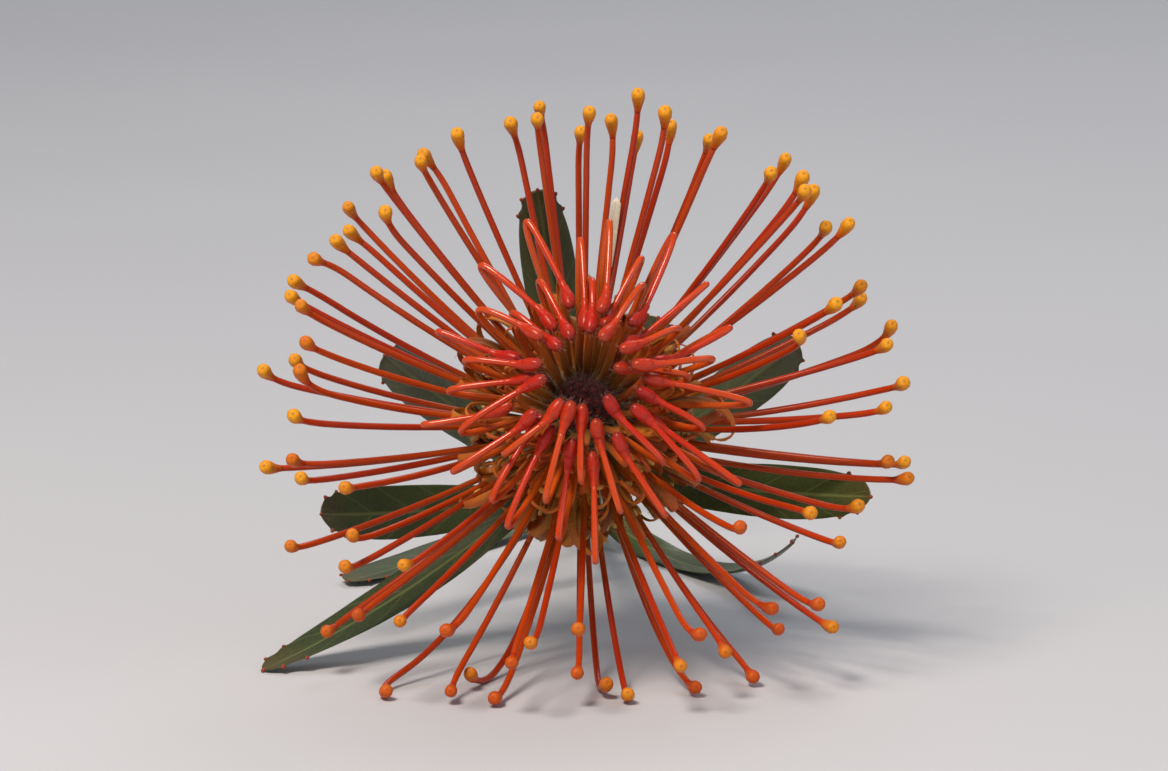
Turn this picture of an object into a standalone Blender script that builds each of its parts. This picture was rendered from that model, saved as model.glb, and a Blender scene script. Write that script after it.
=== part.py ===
"""A pincushion protea, one cut flower lying on a flat surface.

The woody stem swells into a cone, the receptacle, that carries the florets in the golden-angle
spiral of the real flower head. The outer florets have opened: their wiry styles stand out like
pins, each with a knob of pollen on its tip. The inner ones are still looped, because the tips of
their styles are held in the closed limb of the floret. The lowest styles, the lowest leaves and
the cut end of the stem touch the surface, which is the plane z = 0.
"""
import math
import random

import bmesh
import bpy
import numpy as np
from mathutils import Vector

MM = 0.001

# Where the head is, and how it faces.
HEAD_HEIGHT = 41.0 * MM
HEAD_TILT = math.radians(28.0)
HEAD_X = -0.24 * MM
HEAD_Y = -59.93 * MM

# The stem: an arc from the head down to the surface, then a straight run that lies on it.
STEM_NECK_RADIUS = 3.0 * MM
STEM_CUT_RADIUS = 3.5 * MM
STEM_LYING_RUN = 30.0 * MM
STEM_STEPS = 16
STEM_ROUNDNESS = 4

# The receptacle, a blunt cone: its height is along the axis that the flower faces. The slots
# are shares of its florets, from its rim to the cut under the buds. The neck below it narrows
# to the stem: distances behind the rim, with shares of the rim's radius.
RECEPTACLE_RADIUS = 8.5 * MM
RECEPTACLE_HEIGHT = 24.0 * MM
RECEPTACLE_CUT = 0.83
RECEPTACLE_SLOTS = (RECEPTACLE_CUT, 0.7, 0.5, 0.3, 0.14, 0.0)
RECEPTACLE_INSET = 0.37 * MM
NECK_OUTLINE = ((1.5 * MM, 0.86), (4.5 * MM, 0.55))
NECK_LENGTH = 9.0 * MM

# The florets, numbered from the outermost inwards. Pairs are outermost and innermost values.
FLORETS = 120
OPEN_FLORETS = 84
SINGLE_FLORETS = 34
SPIRAL_ROWS = 13
SEAT_SLOTS = 150
GOLDEN_ANGLE = math.radians(137.508)
FIRST_AZIMUTH = math.radians(250.0)
SEAT_GAP = 0.35 * MM
SEED = 4107

# Open florets: the angle from the axis at which a style leaves its seat, how far it sweeps
# forward along its length, and how much its tip hooks forward and curls sideways, in degrees.
STYLE_LENGTH = 55.0 * MM
STYLE_LENGTH_SPREAD = 0.06
STYLE_RADIUS = 0.62 * MM
STYLE_STEPS = 36
LEAVING_ANGLES = (106.0, 68.0)
LEAVING_SPREAD = 5.0
SWEEPS = (38.0, 32.0)
SWEEP_SPREAD = 12.0
HOOK = 30.0
HOOK_SPREAD = 34.0
HOOK_START = 0.76
LEAN_SPREAD = 5.0
CURL_SPREAD = 30.0
CURLY_CHANCE = 0.2
CURLY_FACTOR = 2.6
KNOB_RADIUS = 1.2 * MM
KNOB_LENGTH = 5.5 * MM
OPEN_SEAT_OFFSET = 0.2 * MM
FLORET_BASE_RADIUS = 0.75 * MM
FLORET_TUBE_RADIUS = 1.0 * MM
FLORET_TUBE_SPAN = (3.0 * MM, 9.0 * MM)
FLORET_TUBE_END = 12.0 * MM

# One open floret near the bottom is longer than the rest and curls to the right.
STRAY_FLORET = 13
STRAY_LENGTH = 66.0 * MM
STRAY_HOOK = 20.0
STRAY_CURL = 75.0

# Looped florets: how far out the bow of the style reaches, where the foot of the closed limb
# is held, and how steeply the limb points forward.
LOOP_REACHES = (34.0 * MM, 19.0 * MM)
LOOP_REACH_SPREAD = 2.5 * MM
LOOP_STEPS = 24
LIMB_RADII = (17.0 * MM, 9.8 * MM)
LIMB_RADIUS_SPREAD = 1.6 * MM
LIMB_HEIGHTS = (34.0 * MM, 39.5 * MM)
LIMB_HEIGHT_SPREAD = 2.5 * MM
LIMB_PITCH = 28.0
LIMB_PITCH_SPREAD = 14.0
LIMB_TURN_SPREAD = 11.0
BOW_TURN_SPREAD = 10.0
LIMB_LENGTH = 4.6 * MM
LIMB_GIRTH = 1.2 * MM
LOOPED_SEAT_OFFSET = 0.55 * MM
CLAW_BASE_RADIUS = 0.55 * MM
CLAW_RADIUS = 0.65 * MM
CLAW_STEPS = 10
CLAW_RISE = (0.45, 0.9)
CLAW_LEAVING_RUN = 9.0 * MM
CLAW_ARRIVING_RUN = 6.0 * MM
SLIT_STEP = 3
LIMB_OUTLINE = ((0.3, 1.0), (0.75, 0.9), (1.0, 0.3))
BOW_LEAVING = (0.86, 0.5)
BOW_ARRIVING = (0.97, -0.06)
BEZIER_REACH = 0.75

# Florets are drawn again until they keep clear of each other past their packed seats.
ATTEMPTS = 240
ATTEMPT_STRIDE = 101
CLEARANCE = 0.42 * MM
CLOSE_PACKED = 6.0 * MM

# How far a piece may bend up where the surface is in its way, and the halvings that find it.
MOST_LIFT = 3.0
LIFT_HALVINGS = 30

# The woolly buds in the middle, and the two rows of bracts behind the florets.
BUDS_RADIUS = 3.6 * MM
BUDS_HEIGHT = 5.5 * MM
BUDS_AROUND = 16
BUDS_RINGS = 4
BUD_BUMP = 0.45 * MM

# Each row of bracts: how many, and its outline as radius, height, and how much lower the
# outline runs between two bracts.
BRACT_THICKNESS = 0.7 * MM
UPPER_BRACTS = 11
UPPER_OUTLINE = (
    (4.3 * MM, -7.2 * MM, 0.0),
    (7.4 * MM, -4.6 * MM, 0.6 * MM),
    (9.4 * MM, -2.2 * MM, 2.4 * MM),
)
LOWER_BRACTS = 9
LOWER_OUTLINE = (
    (4.1 * MM, -10.0 * MM, 0.0),
    (6.2 * MM, -8.0 * MM, 0.6 * MM),
    (8.9 * MM, -5.4 * MM, 2.4 * MM),
)

# Leaves: distance behind the head, place round the stem, length, angle to the stem, and bend.
LEAF_WIDTH = 10.5 * MM
LEAF_THICKNESS = 0.8 * MM
LEAF_STEPS = 10
LEAF_GAP = 0.35 * MM
LEAF_WIDEST = 0.64
LEAF_FOOT = 0.3
LEAF_TIP = 0.22
LEAF_ROUNDNESS = 2.6
LEAF_FOLD = 0.12
LEAF_LEVEL_BELOW = 16.0 * MM
LEAVES = (
    (12.0, 222.0, 72.0, 90.0, -12.0),
    (28.0, 348.0, 60.0, 68.0, -22.0),
    (42.0, 100.0, 62.0, 62.0, -28.0),
    (54.0, 192.0, 72.0, 56.0, -34.0),
    (68.0, 32.0, 74.0, 50.0, -30.0),
    (84.0, 145.0, 74.0, 48.0, -28.0),
    (100.0, 322.0, 74.0, 48.0, -18.0),
    (116.0, 200.0, 72.0, 46.0, -16.0),
    (132.0, 70.0, 64.0, 44.0, -14.0),
)

HEAD = Vector((HEAD_X, HEAD_Y, HEAD_HEIGHT))
FACING = Vector((0.0, -math.cos(HEAD_TILT), math.sin(HEAD_TILT)))
RIGHT = Vector((1.0, 0.0, 0.0))
UPWARD = Vector((0.0, math.sin(HEAD_TILT), math.cos(HEAD_TILT)))
VERTICAL = Vector((0.0, 0.0, 1.0))


def clear_scene():
    """Remove whatever the scene holds."""
    for thing in list(bpy.data.objects):
        bpy.data.objects.remove(thing, do_unlink=True)


def linear(channel):
    """One sRGB channel, 0 to 1, as linear light."""
    if channel <= 0.04045:
        return channel / 12.92
    return ((channel + 0.055) / 1.055) ** 2.4


def finish(name, hex_colour, roughness):
    """A Principled material of one colour."""
    material = bpy.data.materials.new(name)
    material.use_nodes = True
    shader = material.node_tree.nodes["Principled BSDF"]
    channels = [int(hex_colour[i : i + 2], 16) / 255.0 for i in (0, 2, 4)]
    shader.inputs["Base Color"].default_value = [linear(c) for c in channels] + [1.0]
    shader.inputs["Roughness"].default_value = roughness
    shader.inputs["Metallic"].default_value = 0.0
    return material


def mix(start, end, amount):
    """The value that lies this far from start to end."""
    return start + (end - start) * amount


def outward(azimuth):
    """The unit vector away from the head's axis, at an angle round it from the right."""
    return RIGHT * math.cos(azimuth) + UPWARD * math.sin(azimuth)


def head_point(radius, height, azimuth):
    """A point of the head, from its distance off the axis and its height along it."""
    return HEAD + FACING * height + outward(azimuth) * radius


def seat(slot):
    """Radius and height on the receptacle of the given share of its florets, 0 to 1."""
    return RECEPTACLE_RADIUS * math.sqrt(1.0 - slot), RECEPTACLE_HEIGHT * slot


# ---------------------------------------------------------------- florets


class Floret:
    """One floret: its number, its seat, and its tubes as lists of points and radii."""

    def __init__(self, number, attempt):
        draw = random.Random(SEED + ATTEMPT_STRIDE * number + attempt)
        self.number = number
        self.azimuth = FIRST_AZIMUTH + number * GOLDEN_ANGLE
        self.is_open = number < OPEN_FLORETS
        self.seat_radius, self.seat_height = seat((number + 0.6) / SEAT_SLOTS)
        offset = OPEN_SEAT_OFFSET if self.is_open else LOOPED_SEAT_OFFSET
        self.base = head_point(self.seat_radius + offset, self.seat_height, self.azimuth)
        self.tubes = [self.open_tube(draw)] if self.is_open else self.looped_tubes(draw)

    def open_tube(self, draw):
        """The route and the radii of an open floret, from its seat to its knob."""
        inward_share = self.number / (OPEN_FLORETS - 1)
        start = mix(*LEAVING_ANGLES, inward_share) + vary(draw, LEAVING_SPREAD)
        sweep = mix(*SWEEPS, inward_share) + vary(draw, SWEEP_SPREAD)
        hook = HOOK + vary(draw, HOOK_SPREAD)
        lean = vary(draw, LEAN_SPREAD)
        curl = vary(draw, CURL_SPREAD)
        if draw.random() < CURLY_CHANCE:
            curl *= CURLY_FACTOR
        length = STYLE_LENGTH * (1.0 + vary(draw, STYLE_LENGTH_SPREAD))
        if self.number == STRAY_FLORET:
            length, hook, curl = STRAY_LENGTH, STRAY_HOOK, STRAY_CURL
        shape = (start, sweep, hook, lean, curl, length)
        return settled(lambda lift: self.open_route(shape, lift), lowest)

    def open_route(self, shape, lift):
        """The points and radii of an open floret that is bent up by lift towards its tip."""
        start, sweep, hook, lean, curl, length = shape
        across = FACING.cross(outward(self.azimuth))
        points = [self.base.copy()]
        for step in range(STYLE_STEPS):
            share = (step + 0.5) / STYLE_STEPS
            tip = max(0.0, (share - HOOK_START) / (1.0 - HOOK_START)) ** 2
            polar = math.radians(start - sweep * share - hook * tip)
            side = math.radians(lean + curl * tip)
            flat = outward(self.azimuth) * math.cos(side) + across * math.sin(side)
            heading = FACING * math.cos(polar) + flat * math.sin(polar)
            heading = (heading + VERTICAL * (lift * share**2)).normalized()
            points.append(points[-1] + heading * (length / STYLE_STEPS))
        places = [length * step / STYLE_STEPS for step in range(STYLE_STEPS + 1)]
        return points, [open_radius(place, length) for place in places]

    def looped_tubes(self, draw):
        """The tubes of a looped floret: the claws with the limb on them, and the style."""
        share = (self.number - OPEN_FLORETS) / (FLORETS - OPEN_FLORETS - 1)
        reach = mix(*LOOP_REACHES, share) + vary(draw, LOOP_REACH_SPREAD)
        limb_radius = mix(*LIMB_RADII, share) + vary(draw, LIMB_RADIUS_SPREAD)
        limb_height = mix(*LIMB_HEIGHTS, share) + vary(draw, LIMB_HEIGHT_SPREAD)
        pitch = math.radians(LIMB_PITCH + vary(draw, LIMB_PITCH_SPREAD))
        limb_azimuth = self.azimuth + math.radians(vary(draw, LIMB_TURN_SPREAD))
        bow_side = outward(self.azimuth + math.radians(vary(draw, BOW_TURN_SPREAD)))
        limb = head_point(limb_radius, limb_height, limb_azimuth)
        inward = FACING * math.sin(pitch) - outward(limb_azimuth) * math.cos(pitch)
        rise = lean_forward(outward(self.azimuth), CLAW_RISE)
        leaving = self.base + rise * CLAW_LEAVING_RUN
        claws = bezier(self.base, leaving, limb - inward * CLAW_ARRIVING_RUN, limb, CLAW_STEPS)
        claw_radii = [mix(CLAW_BASE_RADIUS, CLAW_RADIUS, i / CLAW_STEPS) for i in range(CLAW_STEPS + 1)]
        tip = [limb + inward * LIMB_LENGTH * part for part, _ in LIMB_OUTLINE]
        tip_radii = [LIMB_GIRTH * girth for _, girth in LIMB_OUTLINE]
        slit = claws[SLIT_STEP]
        slit_radius = (slit - HEAD).dot(outward(self.azimuth))
        handle = (reach - 0.5 * (slit_radius + limb_radius)) / BEZIER_REACH
        leave = lean_forward(bow_side, BOW_LEAVING)
        arrive = lean_forward(bow_side, BOW_ARRIVING)
        bow = bezier(slit, slit + leave * handle, limb + arrive * handle, limb, LOOP_STEPS)
        return [(claws + tip, claw_radii + tip_radii), (bow, [STYLE_RADIUS] * len(bow))]


def vary(draw, amount):
    """A random value between minus and plus the given amount."""
    return draw.uniform(-amount, amount)


def lean_forward(away, shares):
    """A unit vector made of a share outwards and a share the way the flower faces."""
    return (away * shares[0] + FACING * shares[1]).normalized()


def open_radius(place, length):
    """The radius of an open floret at a distance from its seat."""
    knob = length - KNOB_LENGTH
    table = (
        (0.0, FLORET_BASE_RADIUS),
        (FLORET_TUBE_SPAN[0], FLORET_TUBE_RADIUS),
        (FLORET_TUBE_SPAN[1], FLORET_TUBE_RADIUS),
        (FLORET_TUBE_END, STYLE_RADIUS),
        (knob, STYLE_RADIUS),
        (knob + 0.55 * KNOB_LENGTH, KNOB_RADIUS),
        (knob + 0.85 * KNOB_LENGTH, 0.9 * KNOB_RADIUS),
        (length, 0.3 * KNOB_RADIUS),
    )
    return float(np.interp(place, [row[0] for row in table], [row[1] for row in table]))


def bezier(start, leaving, arriving, end, steps):
    """Points along a cubic Bezier curve."""
    points = []
    for step in range(steps + 1):
        t = step / steps
        u = 1.0 - t
        points.append(
            start * u**3 + leaving * (3 * u * u * t) + arriving * (3 * u * t * t) + end * t**3
        )
    return points


def lowest(route):
    """How low a route of points and radii reaches."""
    points, radii = route
    return min(point.z - radius for point, radius in zip(points, radii))


def settled(shape_at, lowest_of):
    """The shape with the least lift that keeps it on the surface or above it."""
    if lowest_of(shape_at(0.0)) >= 0.0:
        return shape_at(0.0)
    low, high = 0.0, MOST_LIFT
    for _ in range(LIFT_HALVINGS):
        middle = 0.5 * (low + high)
        if lowest_of(shape_at(middle)) < 0.0:
            low = middle
        else:
            high = middle
    return shape_at(high)


def samples(floret):
    """Rows of x, y, z, radius and distance from the seat, for the clearance test."""
    rows = []
    for points, radii in floret.tubes:
        for point, radius in zip(points, radii):
            rows.append((*point, radius, (point - floret.base).length))
    return np.array(rows)


def least_gap(mine, others):
    """The gap between one floret's samples and those of the others, past the packed seats."""
    if others is None:
        return math.inf
    gaps = np.linalg.norm(mine[:, None, :3] - others[None, :, :3], axis=2)
    gaps -= mine[:, None, 3] + others[None, :, 3]
    packed = (mine[:, None, 4] < CLOSE_PACKED) & (others[None, :, 4] < CLOSE_PACKED)
    return float(np.min(gaps[~packed]))


def grow_florets():
    """All florets in order, each drawn again until it keeps clear of the earlier ones."""
    florets = []
    taken = None
    for number in range(FLORETS):
        best = (-math.inf, None, None)
        for attempt in range(ATTEMPTS):
            floret = Floret(number, attempt)
            mine = samples(floret)
            gap = least_gap(mine, taken)
            if gap > best[0]:
                best = (gap, floret, mine)
            if gap > CLEARANCE:
                break
        florets.append(best[1])
        taken = best[2] if taken is None else np.vstack((taken, best[2]))
    return florets


# ---------------------------------------------------------------- making solids


def tube(name, points, radii, resolution, material):
    """A closed tube along the points, as a curve object with a round bevel and caps."""
    curve = bpy.data.curves.new(name, "CURVE")
    curve.dimensions = "3D"
    curve.twist_mode = "MINIMUM"
    curve.bevel_depth = 1.0
    curve.bevel_resolution = resolution
    curve.use_fill_caps = True
    spline = curve.splines.new("POLY")
    spline.points.add(len(points) - 1)
    for place, point, radius in zip(spline.points, points, radii):
        place.co = (*point, 1.0)
        place.radius = radius
    spline.use_smooth = True
    curve.materials.append(material)
    result = bpy.data.objects.new(name, curve)
    bpy.context.scene.collection.objects.link(result)
    return result


def thinned(points, radii, shares):
    """The points and radii at the given shares of a route, for a coarser tube."""
    last = len(points) - 1
    places = np.array(shares) * last
    steps = np.arange(last + 1)
    columns = [np.interp(places, steps, [point[axis] for point in points]) for axis in range(3)]
    coarse = [Vector(row) for row in np.array(columns).T.tolist()]
    return coarse, np.interp(places, steps, radii).tolist()


def as_mesh(source):
    """A mesh object with the evaluated shape of source, which is removed."""
    bpy.context.view_layer.update()
    graph = bpy.context.evaluated_depsgraph_get()
    mesh = bpy.data.meshes.new_from_object(source.evaluated_get(graph))
    name = source.name
    bpy.data.objects.remove(source, do_unlink=True)
    result = bpy.data.objects.new(name, mesh)
    bpy.context.scene.collection.objects.link(result)
    return result


def weld(thing):
    """Merge the doubled points of a mesh object and turn its faces outwards."""
    shape = bmesh.new()
    shape.from_mesh(thing.data)
    bmesh.ops.remove_doubles(shape, verts=shape.verts, dist=0.01 * MM)
    bmesh.ops.recalc_face_normals(shape, faces=shape.faces)
    shape.to_mesh(thing.data)
    shape.free()


def unite(name, body, others):
    """Join body and the solids that overlap it into one mesh object."""
    group = bpy.data.collections.new(name + "_joined")
    for other in others:
        weld(other)
        group.objects.link(other)
    weld(body)
    union = body.modifiers.new("union", "BOOLEAN")
    union.operation = "UNION"
    union.operand_type = "COLLECTION"
    union.collection = group
    union.solver = "EXACT"
    body.name = name
    result = as_mesh(body)
    for other in others:
        bpy.data.objects.remove(other, do_unlink=True)
    bpy.data.collections.remove(group)
    return result


# ---------------------------------------------------------------- the head

# The shares of a route that a solid keeps, and how round it is, to keep the solids light.
OPEN_SHARES = (0.0, 0.17, 0.23, 0.5, 0.74, 0.84, 0.91, 0.955, 1.0)
ROW_SHARES = (0.0, 0.17, 0.24, 0.58, 0.84, 0.955, 1.0)
CLAW_SHARES = (0.0, 0.45, 0.77, 0.86, 1.0)
BOW_SHARES = (0.0, 0.26, 0.42, 0.54, 0.68, 1.0)
SINGLE_ROUNDNESS = 1
ROW_ROUNDNESS = 0
RIDGE_RADIUS = 0.5 * MM
RIDGE_OVERHANG = 0.5 * MM
RIDGE_OFFSET = 0.2 * MM
SHARP_ANGLE = math.radians(50.0)


def build_single_floret(floret, material):
    """An open floret as a node of its own."""
    points, radii = thinned(*floret.tubes[0], OPEN_SHARES)
    name = f"floret_{floret.number + 1:02d}"
    return tube(name, points, radii, SINGLE_ROUNDNESS, material)


def ridge_route(row):
    """The route of the low woolly ridge that the florets of one spiral row stand on."""
    points = [floret.base + outward(floret.azimuth) * RIDGE_OFFSET for floret in row]
    before = (points[0] - points[1]).normalized() * RIDGE_OVERHANG
    after = (points[-1] - points[-2]).normalized() * RIDGE_OVERHANG
    return [points[0] + before, *points[1:-1], points[-1] + after]


def build_floret_row(number, row, material):
    """The florets of one spiral row, joined by their ridge."""
    ridge_radii = [RIDGE_RADIUS] * len(row)
    ridge = as_mesh(tube("ridge", ridge_route(row), ridge_radii, ROW_ROUNDNESS, material))
    others = []
    for floret in row:
        shares = (ROW_SHARES,) if floret.is_open else (CLAW_SHARES, BOW_SHARES)
        for (points, radii), kept in zip(floret.tubes, shares):
            coarse = thinned(points, radii, kept)
            others.append(as_mesh(tube("part", *coarse, ROW_ROUNDNESS, material)))
    result = unite(f"floret_row_{number + 1:02d}", ridge, others)
    result.data.shade_smooth()
    result.data.set_sharp_from_angle(angle=SHARP_ANGLE)
    return result


def build_centre_buds(material):
    """The cluster of woolly buds on the tip of the cone: a low dome of pointed bumps."""
    base = seat(RECEPTACLE_CUT)[1] + SEAT_GAP
    shape = bmesh.new()
    loops = []
    for ring in range(BUDS_RINGS):
        rise = 0.5 * math.pi * ring / BUDS_RINGS
        loop = []
        for step in range(BUDS_AROUND):
            bump = BUD_BUMP * (-1.0) ** (step + ring) if ring else 0.0
            radius = BUDS_RADIUS * math.cos(rise) + bump
            height = base + BUDS_HEIGHT * math.sin(rise) + abs(bump)
            place = head_point(radius, height, 2.0 * math.pi * step / BUDS_AROUND)
            loop.append(shape.verts.new(place))
        loops.append(loop)
    foot = shape.verts.new(head_point(0.0, base, 0.0))
    top = shape.verts.new(head_point(0.0, base + BUDS_HEIGHT, 0.0))
    join_loops(shape, loops)
    for step in range(BUDS_AROUND):
        after = (step + 1) % BUDS_AROUND
        shape.faces.new((foot, loops[0][after], loops[0][step]))
        shape.faces.new((top, loops[-1][step], loops[-1][after]))
    return solid_from(shape, "centre_buds", material)


def join_loops(shape, loops):
    """Faces between each closed loop of vertices and the next."""
    for lower, upper in zip(loops, loops[1:]):
        for step in range(len(lower)):
            after = (step + 1) % len(lower)
            shape.faces.new((lower[step], lower[after], upper[after], upper[step]))


def solid_from(shape, name, material):
    """A mesh object from a bmesh, with its faces turned outwards."""
    bmesh.ops.recalc_face_normals(shape, faces=shape.faces)
    mesh = bpy.data.meshes.new(name)
    shape.to_mesh(mesh)
    shape.free()
    mesh.materials.append(material)
    result = bpy.data.objects.new(name, mesh)
    bpy.context.scene.collection.objects.link(result)
    mesh.shade_smooth()
    return result


def build_bract_row(name, count, outline, material):
    """A row of pointed bracts that share one collar round the neck of the head."""
    shape = bmesh.new()
    loops = []
    for radius, height, drop in outline:
        loop = []
        for step in range(2 * count):
            lowered = drop if step % 2 else 0.0
            place = head_point(radius, height - lowered, math.pi * step / count)
            loop.append(shape.verts.new(place))
        loops.append(loop)
    join_loops(shape, loops)
    result = solid_from(shape, name, material)
    wall = result.modifiers.new("wall", "SOLIDIFY")
    wall.thickness = BRACT_THICKNESS
    wall.offset = 0.0
    return result


# ---------------------------------------------------------------- stem and leaves


def stem_arc_length():
    """The length of the arc that brings the stem down to the surface, level at its end."""
    drop = HEAD_HEIGHT - STEM_CUT_RADIUS
    return drop * HEAD_TILT / (1.0 - math.cos(HEAD_TILT))


def stem_point(distance):
    """The middle of the stem at a distance behind the head, and its heading there."""
    arc = stem_arc_length()
    curved = min(distance, arc)
    slope = HEAD_TILT * (1.0 - curved / arc)
    bend_radius = arc / HEAD_TILT
    along = bend_radius * (math.sin(HEAD_TILT) - math.sin(slope))
    drop = bend_radius * (math.cos(slope) - math.cos(HEAD_TILT))
    straight = max(0.0, distance - arc)
    point = HEAD + Vector((0.0, along + straight, -drop))
    return point, Vector((0.0, math.cos(slope), -math.sin(slope)))


def stem_radius(distance):
    """The radius of the stem at a distance behind the head."""
    whole = stem_arc_length() + STEM_LYING_RUN
    return mix(STEM_NECK_RADIUS, STEM_CUT_RADIUS, distance / whole)


def build_stem(material):
    """The stem and, in one piece with it, the receptacle that carries the florets."""
    points, radii = [], []
    for slot in RECEPTACLE_SLOTS:
        radius, height = seat(slot)
        points.append(HEAD + FACING * height)
        radii.append(radius - RECEPTACLE_INSET)
    for distance, share in NECK_OUTLINE:
        points.append(HEAD - FACING * distance)
        radii.append(share * RECEPTACLE_RADIUS)
    whole = stem_arc_length() + STEM_LYING_RUN
    for step in range(STEM_STEPS + 1):
        distance = mix(NECK_LENGTH, whole, step / STEM_STEPS)
        points.append(stem_point(distance)[0])
        radii.append(stem_radius(distance))
    return tube("stem", points, radii, STEM_ROUNDNESS, material)


def leaf_half_width(share):
    """Half the width of a leaf at a share of its length: narrow foot, round tip."""
    if share < LEAF_WIDEST:
        swell = math.sin(0.5 * math.pi * share / LEAF_WIDEST)
        return 0.5 * LEAF_WIDTH * mix(LEAF_FOOT, 1.0, swell)
    rest = (share - LEAF_WIDEST) / (1.0 - LEAF_WIDEST)
    return 0.5 * LEAF_WIDTH * max(LEAF_TIP, math.sqrt(1.0 - rest**LEAF_ROUNDNESS))


def leaf_rows(station, roll, length, angle, bend, lift):
    """Rows of edge, midrib and edge points of a leaf, bent up by lift towards its tip."""
    middle, heading = stem_point(station * MM)
    across = heading.cross(RIGHT)
    away = RIGHT * math.cos(math.radians(roll)) - across * math.sin(math.radians(roll))
    point = middle + away * (stem_radius(station * MM) + LEAF_GAP + 0.5 * LEAF_THICKNESS)
    rows = []
    for step in range(LEAF_STEPS + 1):
        share = step / LEAF_STEPS
        turn = math.radians(angle + bend * share)
        forward = (away * math.sin(turn) - heading * math.cos(turn)).normalized()
        forward = (forward + VERTICAL * (lift * share)).normalized()
        sideways = away.cross(forward).normalized()
        level = forward.cross(VERTICAL).normalized()
        if level.dot(sideways) < 0.0:
            level.negate()
        flatten = max(0.0, 1.0 - point.z / LEAF_LEVEL_BELOW) * min(1.0, 3.0 * share)
        sideways = sideways.lerp(level, flatten).normalized()
        half = leaf_half_width(share)
        fold = sideways.cross(forward) * LEAF_FOLD * half
        if fold.z < 0.0:
            fold.negate()
        rows.append((point - sideways * half + fold, point.copy(), point + sideways * half + fold))
        point = point + forward * (length * MM / LEAF_STEPS)
    return rows


def lowest_of_sheet(rows):
    """How low the underside of a leaf reaches."""
    return min(point.z for row in rows for point in row) - 0.5 * LEAF_THICKNESS


def build_leaf(number, leaf, material):
    """A strap leaf: a folded sheet with the thickness of the blade."""
    shape = bmesh.new()
    sheet = settled(lambda lift: leaf_rows(*leaf, lift), lowest_of_sheet)
    rows = [[shape.verts.new(point) for point in row] for row in sheet]
    for near, far in zip(rows, rows[1:]):
        for column in range(len(near) - 1):
            shape.faces.new((near[column], near[column + 1], far[column + 1], far[column]))
    result = solid_from(shape, f"leaf_{number + 1:02d}", material)
    blade = result.modifiers.new("blade", "SOLIDIFY")
    blade.thickness = LEAF_THICKNESS
    blade.offset = 0.0
    return result


# ---------------------------------------------------------------- the whole flower


def build_head():
    """The florets, the buds in their middle and the bracts behind them."""
    florets = grow_florets()
    for floret in florets[:SINGLE_FLORETS]:
        build_single_floret(floret, finish(f"floret_{floret.number + 1:02d}", "C9471C", 0.32))
    for number in range(SPIRAL_ROWS):
        row = florets[SINGLE_FLORETS + number :: SPIRAL_ROWS]
        build_floret_row(number, row, finish(f"floret_row_{number + 1:02d}", "B93A17", 0.32))
    build_centre_buds(finish("centre_buds", "5B3340", 0.9))
    upper_finish = finish("upper_bracts", "8A5A3C", 0.85)
    build_bract_row("upper_bracts", UPPER_BRACTS, UPPER_OUTLINE, upper_finish)
    lower_finish = finish("lower_bracts", "7A6A42", 0.85)
    build_bract_row("lower_bracts", LOWER_BRACTS, LOWER_OUTLINE, lower_finish)


def build_stalk():
    """The stem with its leaves."""
    build_stem(finish("stem", "6F6A3A", 0.7))
    for number, leaf in enumerate(LEAVES):
        build_leaf(number, leaf, finish(f"leaf_{number + 1:02d}", "3C4A22", 0.55))


clear_scene()
build_head()
build_stalk()
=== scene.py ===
"""Looks of a cut pincushion protea that lies on a pale floor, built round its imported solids.

Each group of pieces is a class: the open florets, the looped florets, the middle of the head, the
bracts behind it, the stem and the leaves. Their routes repeat the formulas of the solids, so each
visible piece lies where its solid lies. Two Geometry Nodes trees make what repeats: Sweep runs a
profile along many routes at once, and Bristles grows hairs from a surface.
"""

from __future__ import annotations

import logging
import math
import random
from dataclasses import dataclass
from enum import Enum
from functools import partial
from typing import Any, Callable, Iterable, Sequence

import bpy
import numpy as np
from bpy.types import Material, Node, NodeSocket, NodeTree, Object
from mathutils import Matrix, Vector


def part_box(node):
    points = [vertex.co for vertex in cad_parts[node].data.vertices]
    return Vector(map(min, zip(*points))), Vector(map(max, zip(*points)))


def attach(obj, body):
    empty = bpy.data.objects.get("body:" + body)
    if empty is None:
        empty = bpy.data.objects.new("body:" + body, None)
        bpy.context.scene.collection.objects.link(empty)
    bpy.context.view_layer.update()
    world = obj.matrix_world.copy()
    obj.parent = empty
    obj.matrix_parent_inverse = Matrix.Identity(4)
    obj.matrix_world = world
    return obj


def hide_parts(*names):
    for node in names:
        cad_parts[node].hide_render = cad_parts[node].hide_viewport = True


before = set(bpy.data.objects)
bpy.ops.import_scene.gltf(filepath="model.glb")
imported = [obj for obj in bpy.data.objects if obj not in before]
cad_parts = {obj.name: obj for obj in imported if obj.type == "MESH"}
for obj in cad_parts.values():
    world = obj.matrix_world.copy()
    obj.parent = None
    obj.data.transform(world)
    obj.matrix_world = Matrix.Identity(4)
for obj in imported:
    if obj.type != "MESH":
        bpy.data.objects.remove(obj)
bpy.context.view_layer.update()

MM = 0.001
UP = Vector((0.0, 0.0, 1.0))
RIGHT = Vector((1.0, 0.0, 0.0))
LOG = logging.getLogger("protea")
Pair = tuple[float, float]
Span = tuple[float, float, float]
Outline = tuple[Pair, ...]
Route = Sequence[Vector]


class Slot(Enum):
    """The record's material slots."""

    FLORET = "floret"
    BUDS = "buds"
    BRACTS = "bracts"
    STEM = "stem"
    LEAF = "leaf"


# ---------------------------------------------------------------- small helpers


def mix(start: Any, end: Any, amount: float) -> Any:
    """The value that lies this far from start to end."""
    return start + (end - start) * amount


def vary(draw: random.Random, amount: float) -> float:
    """A random value between minus and plus the given amount."""
    return draw.uniform(-amount, amount)


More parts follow.
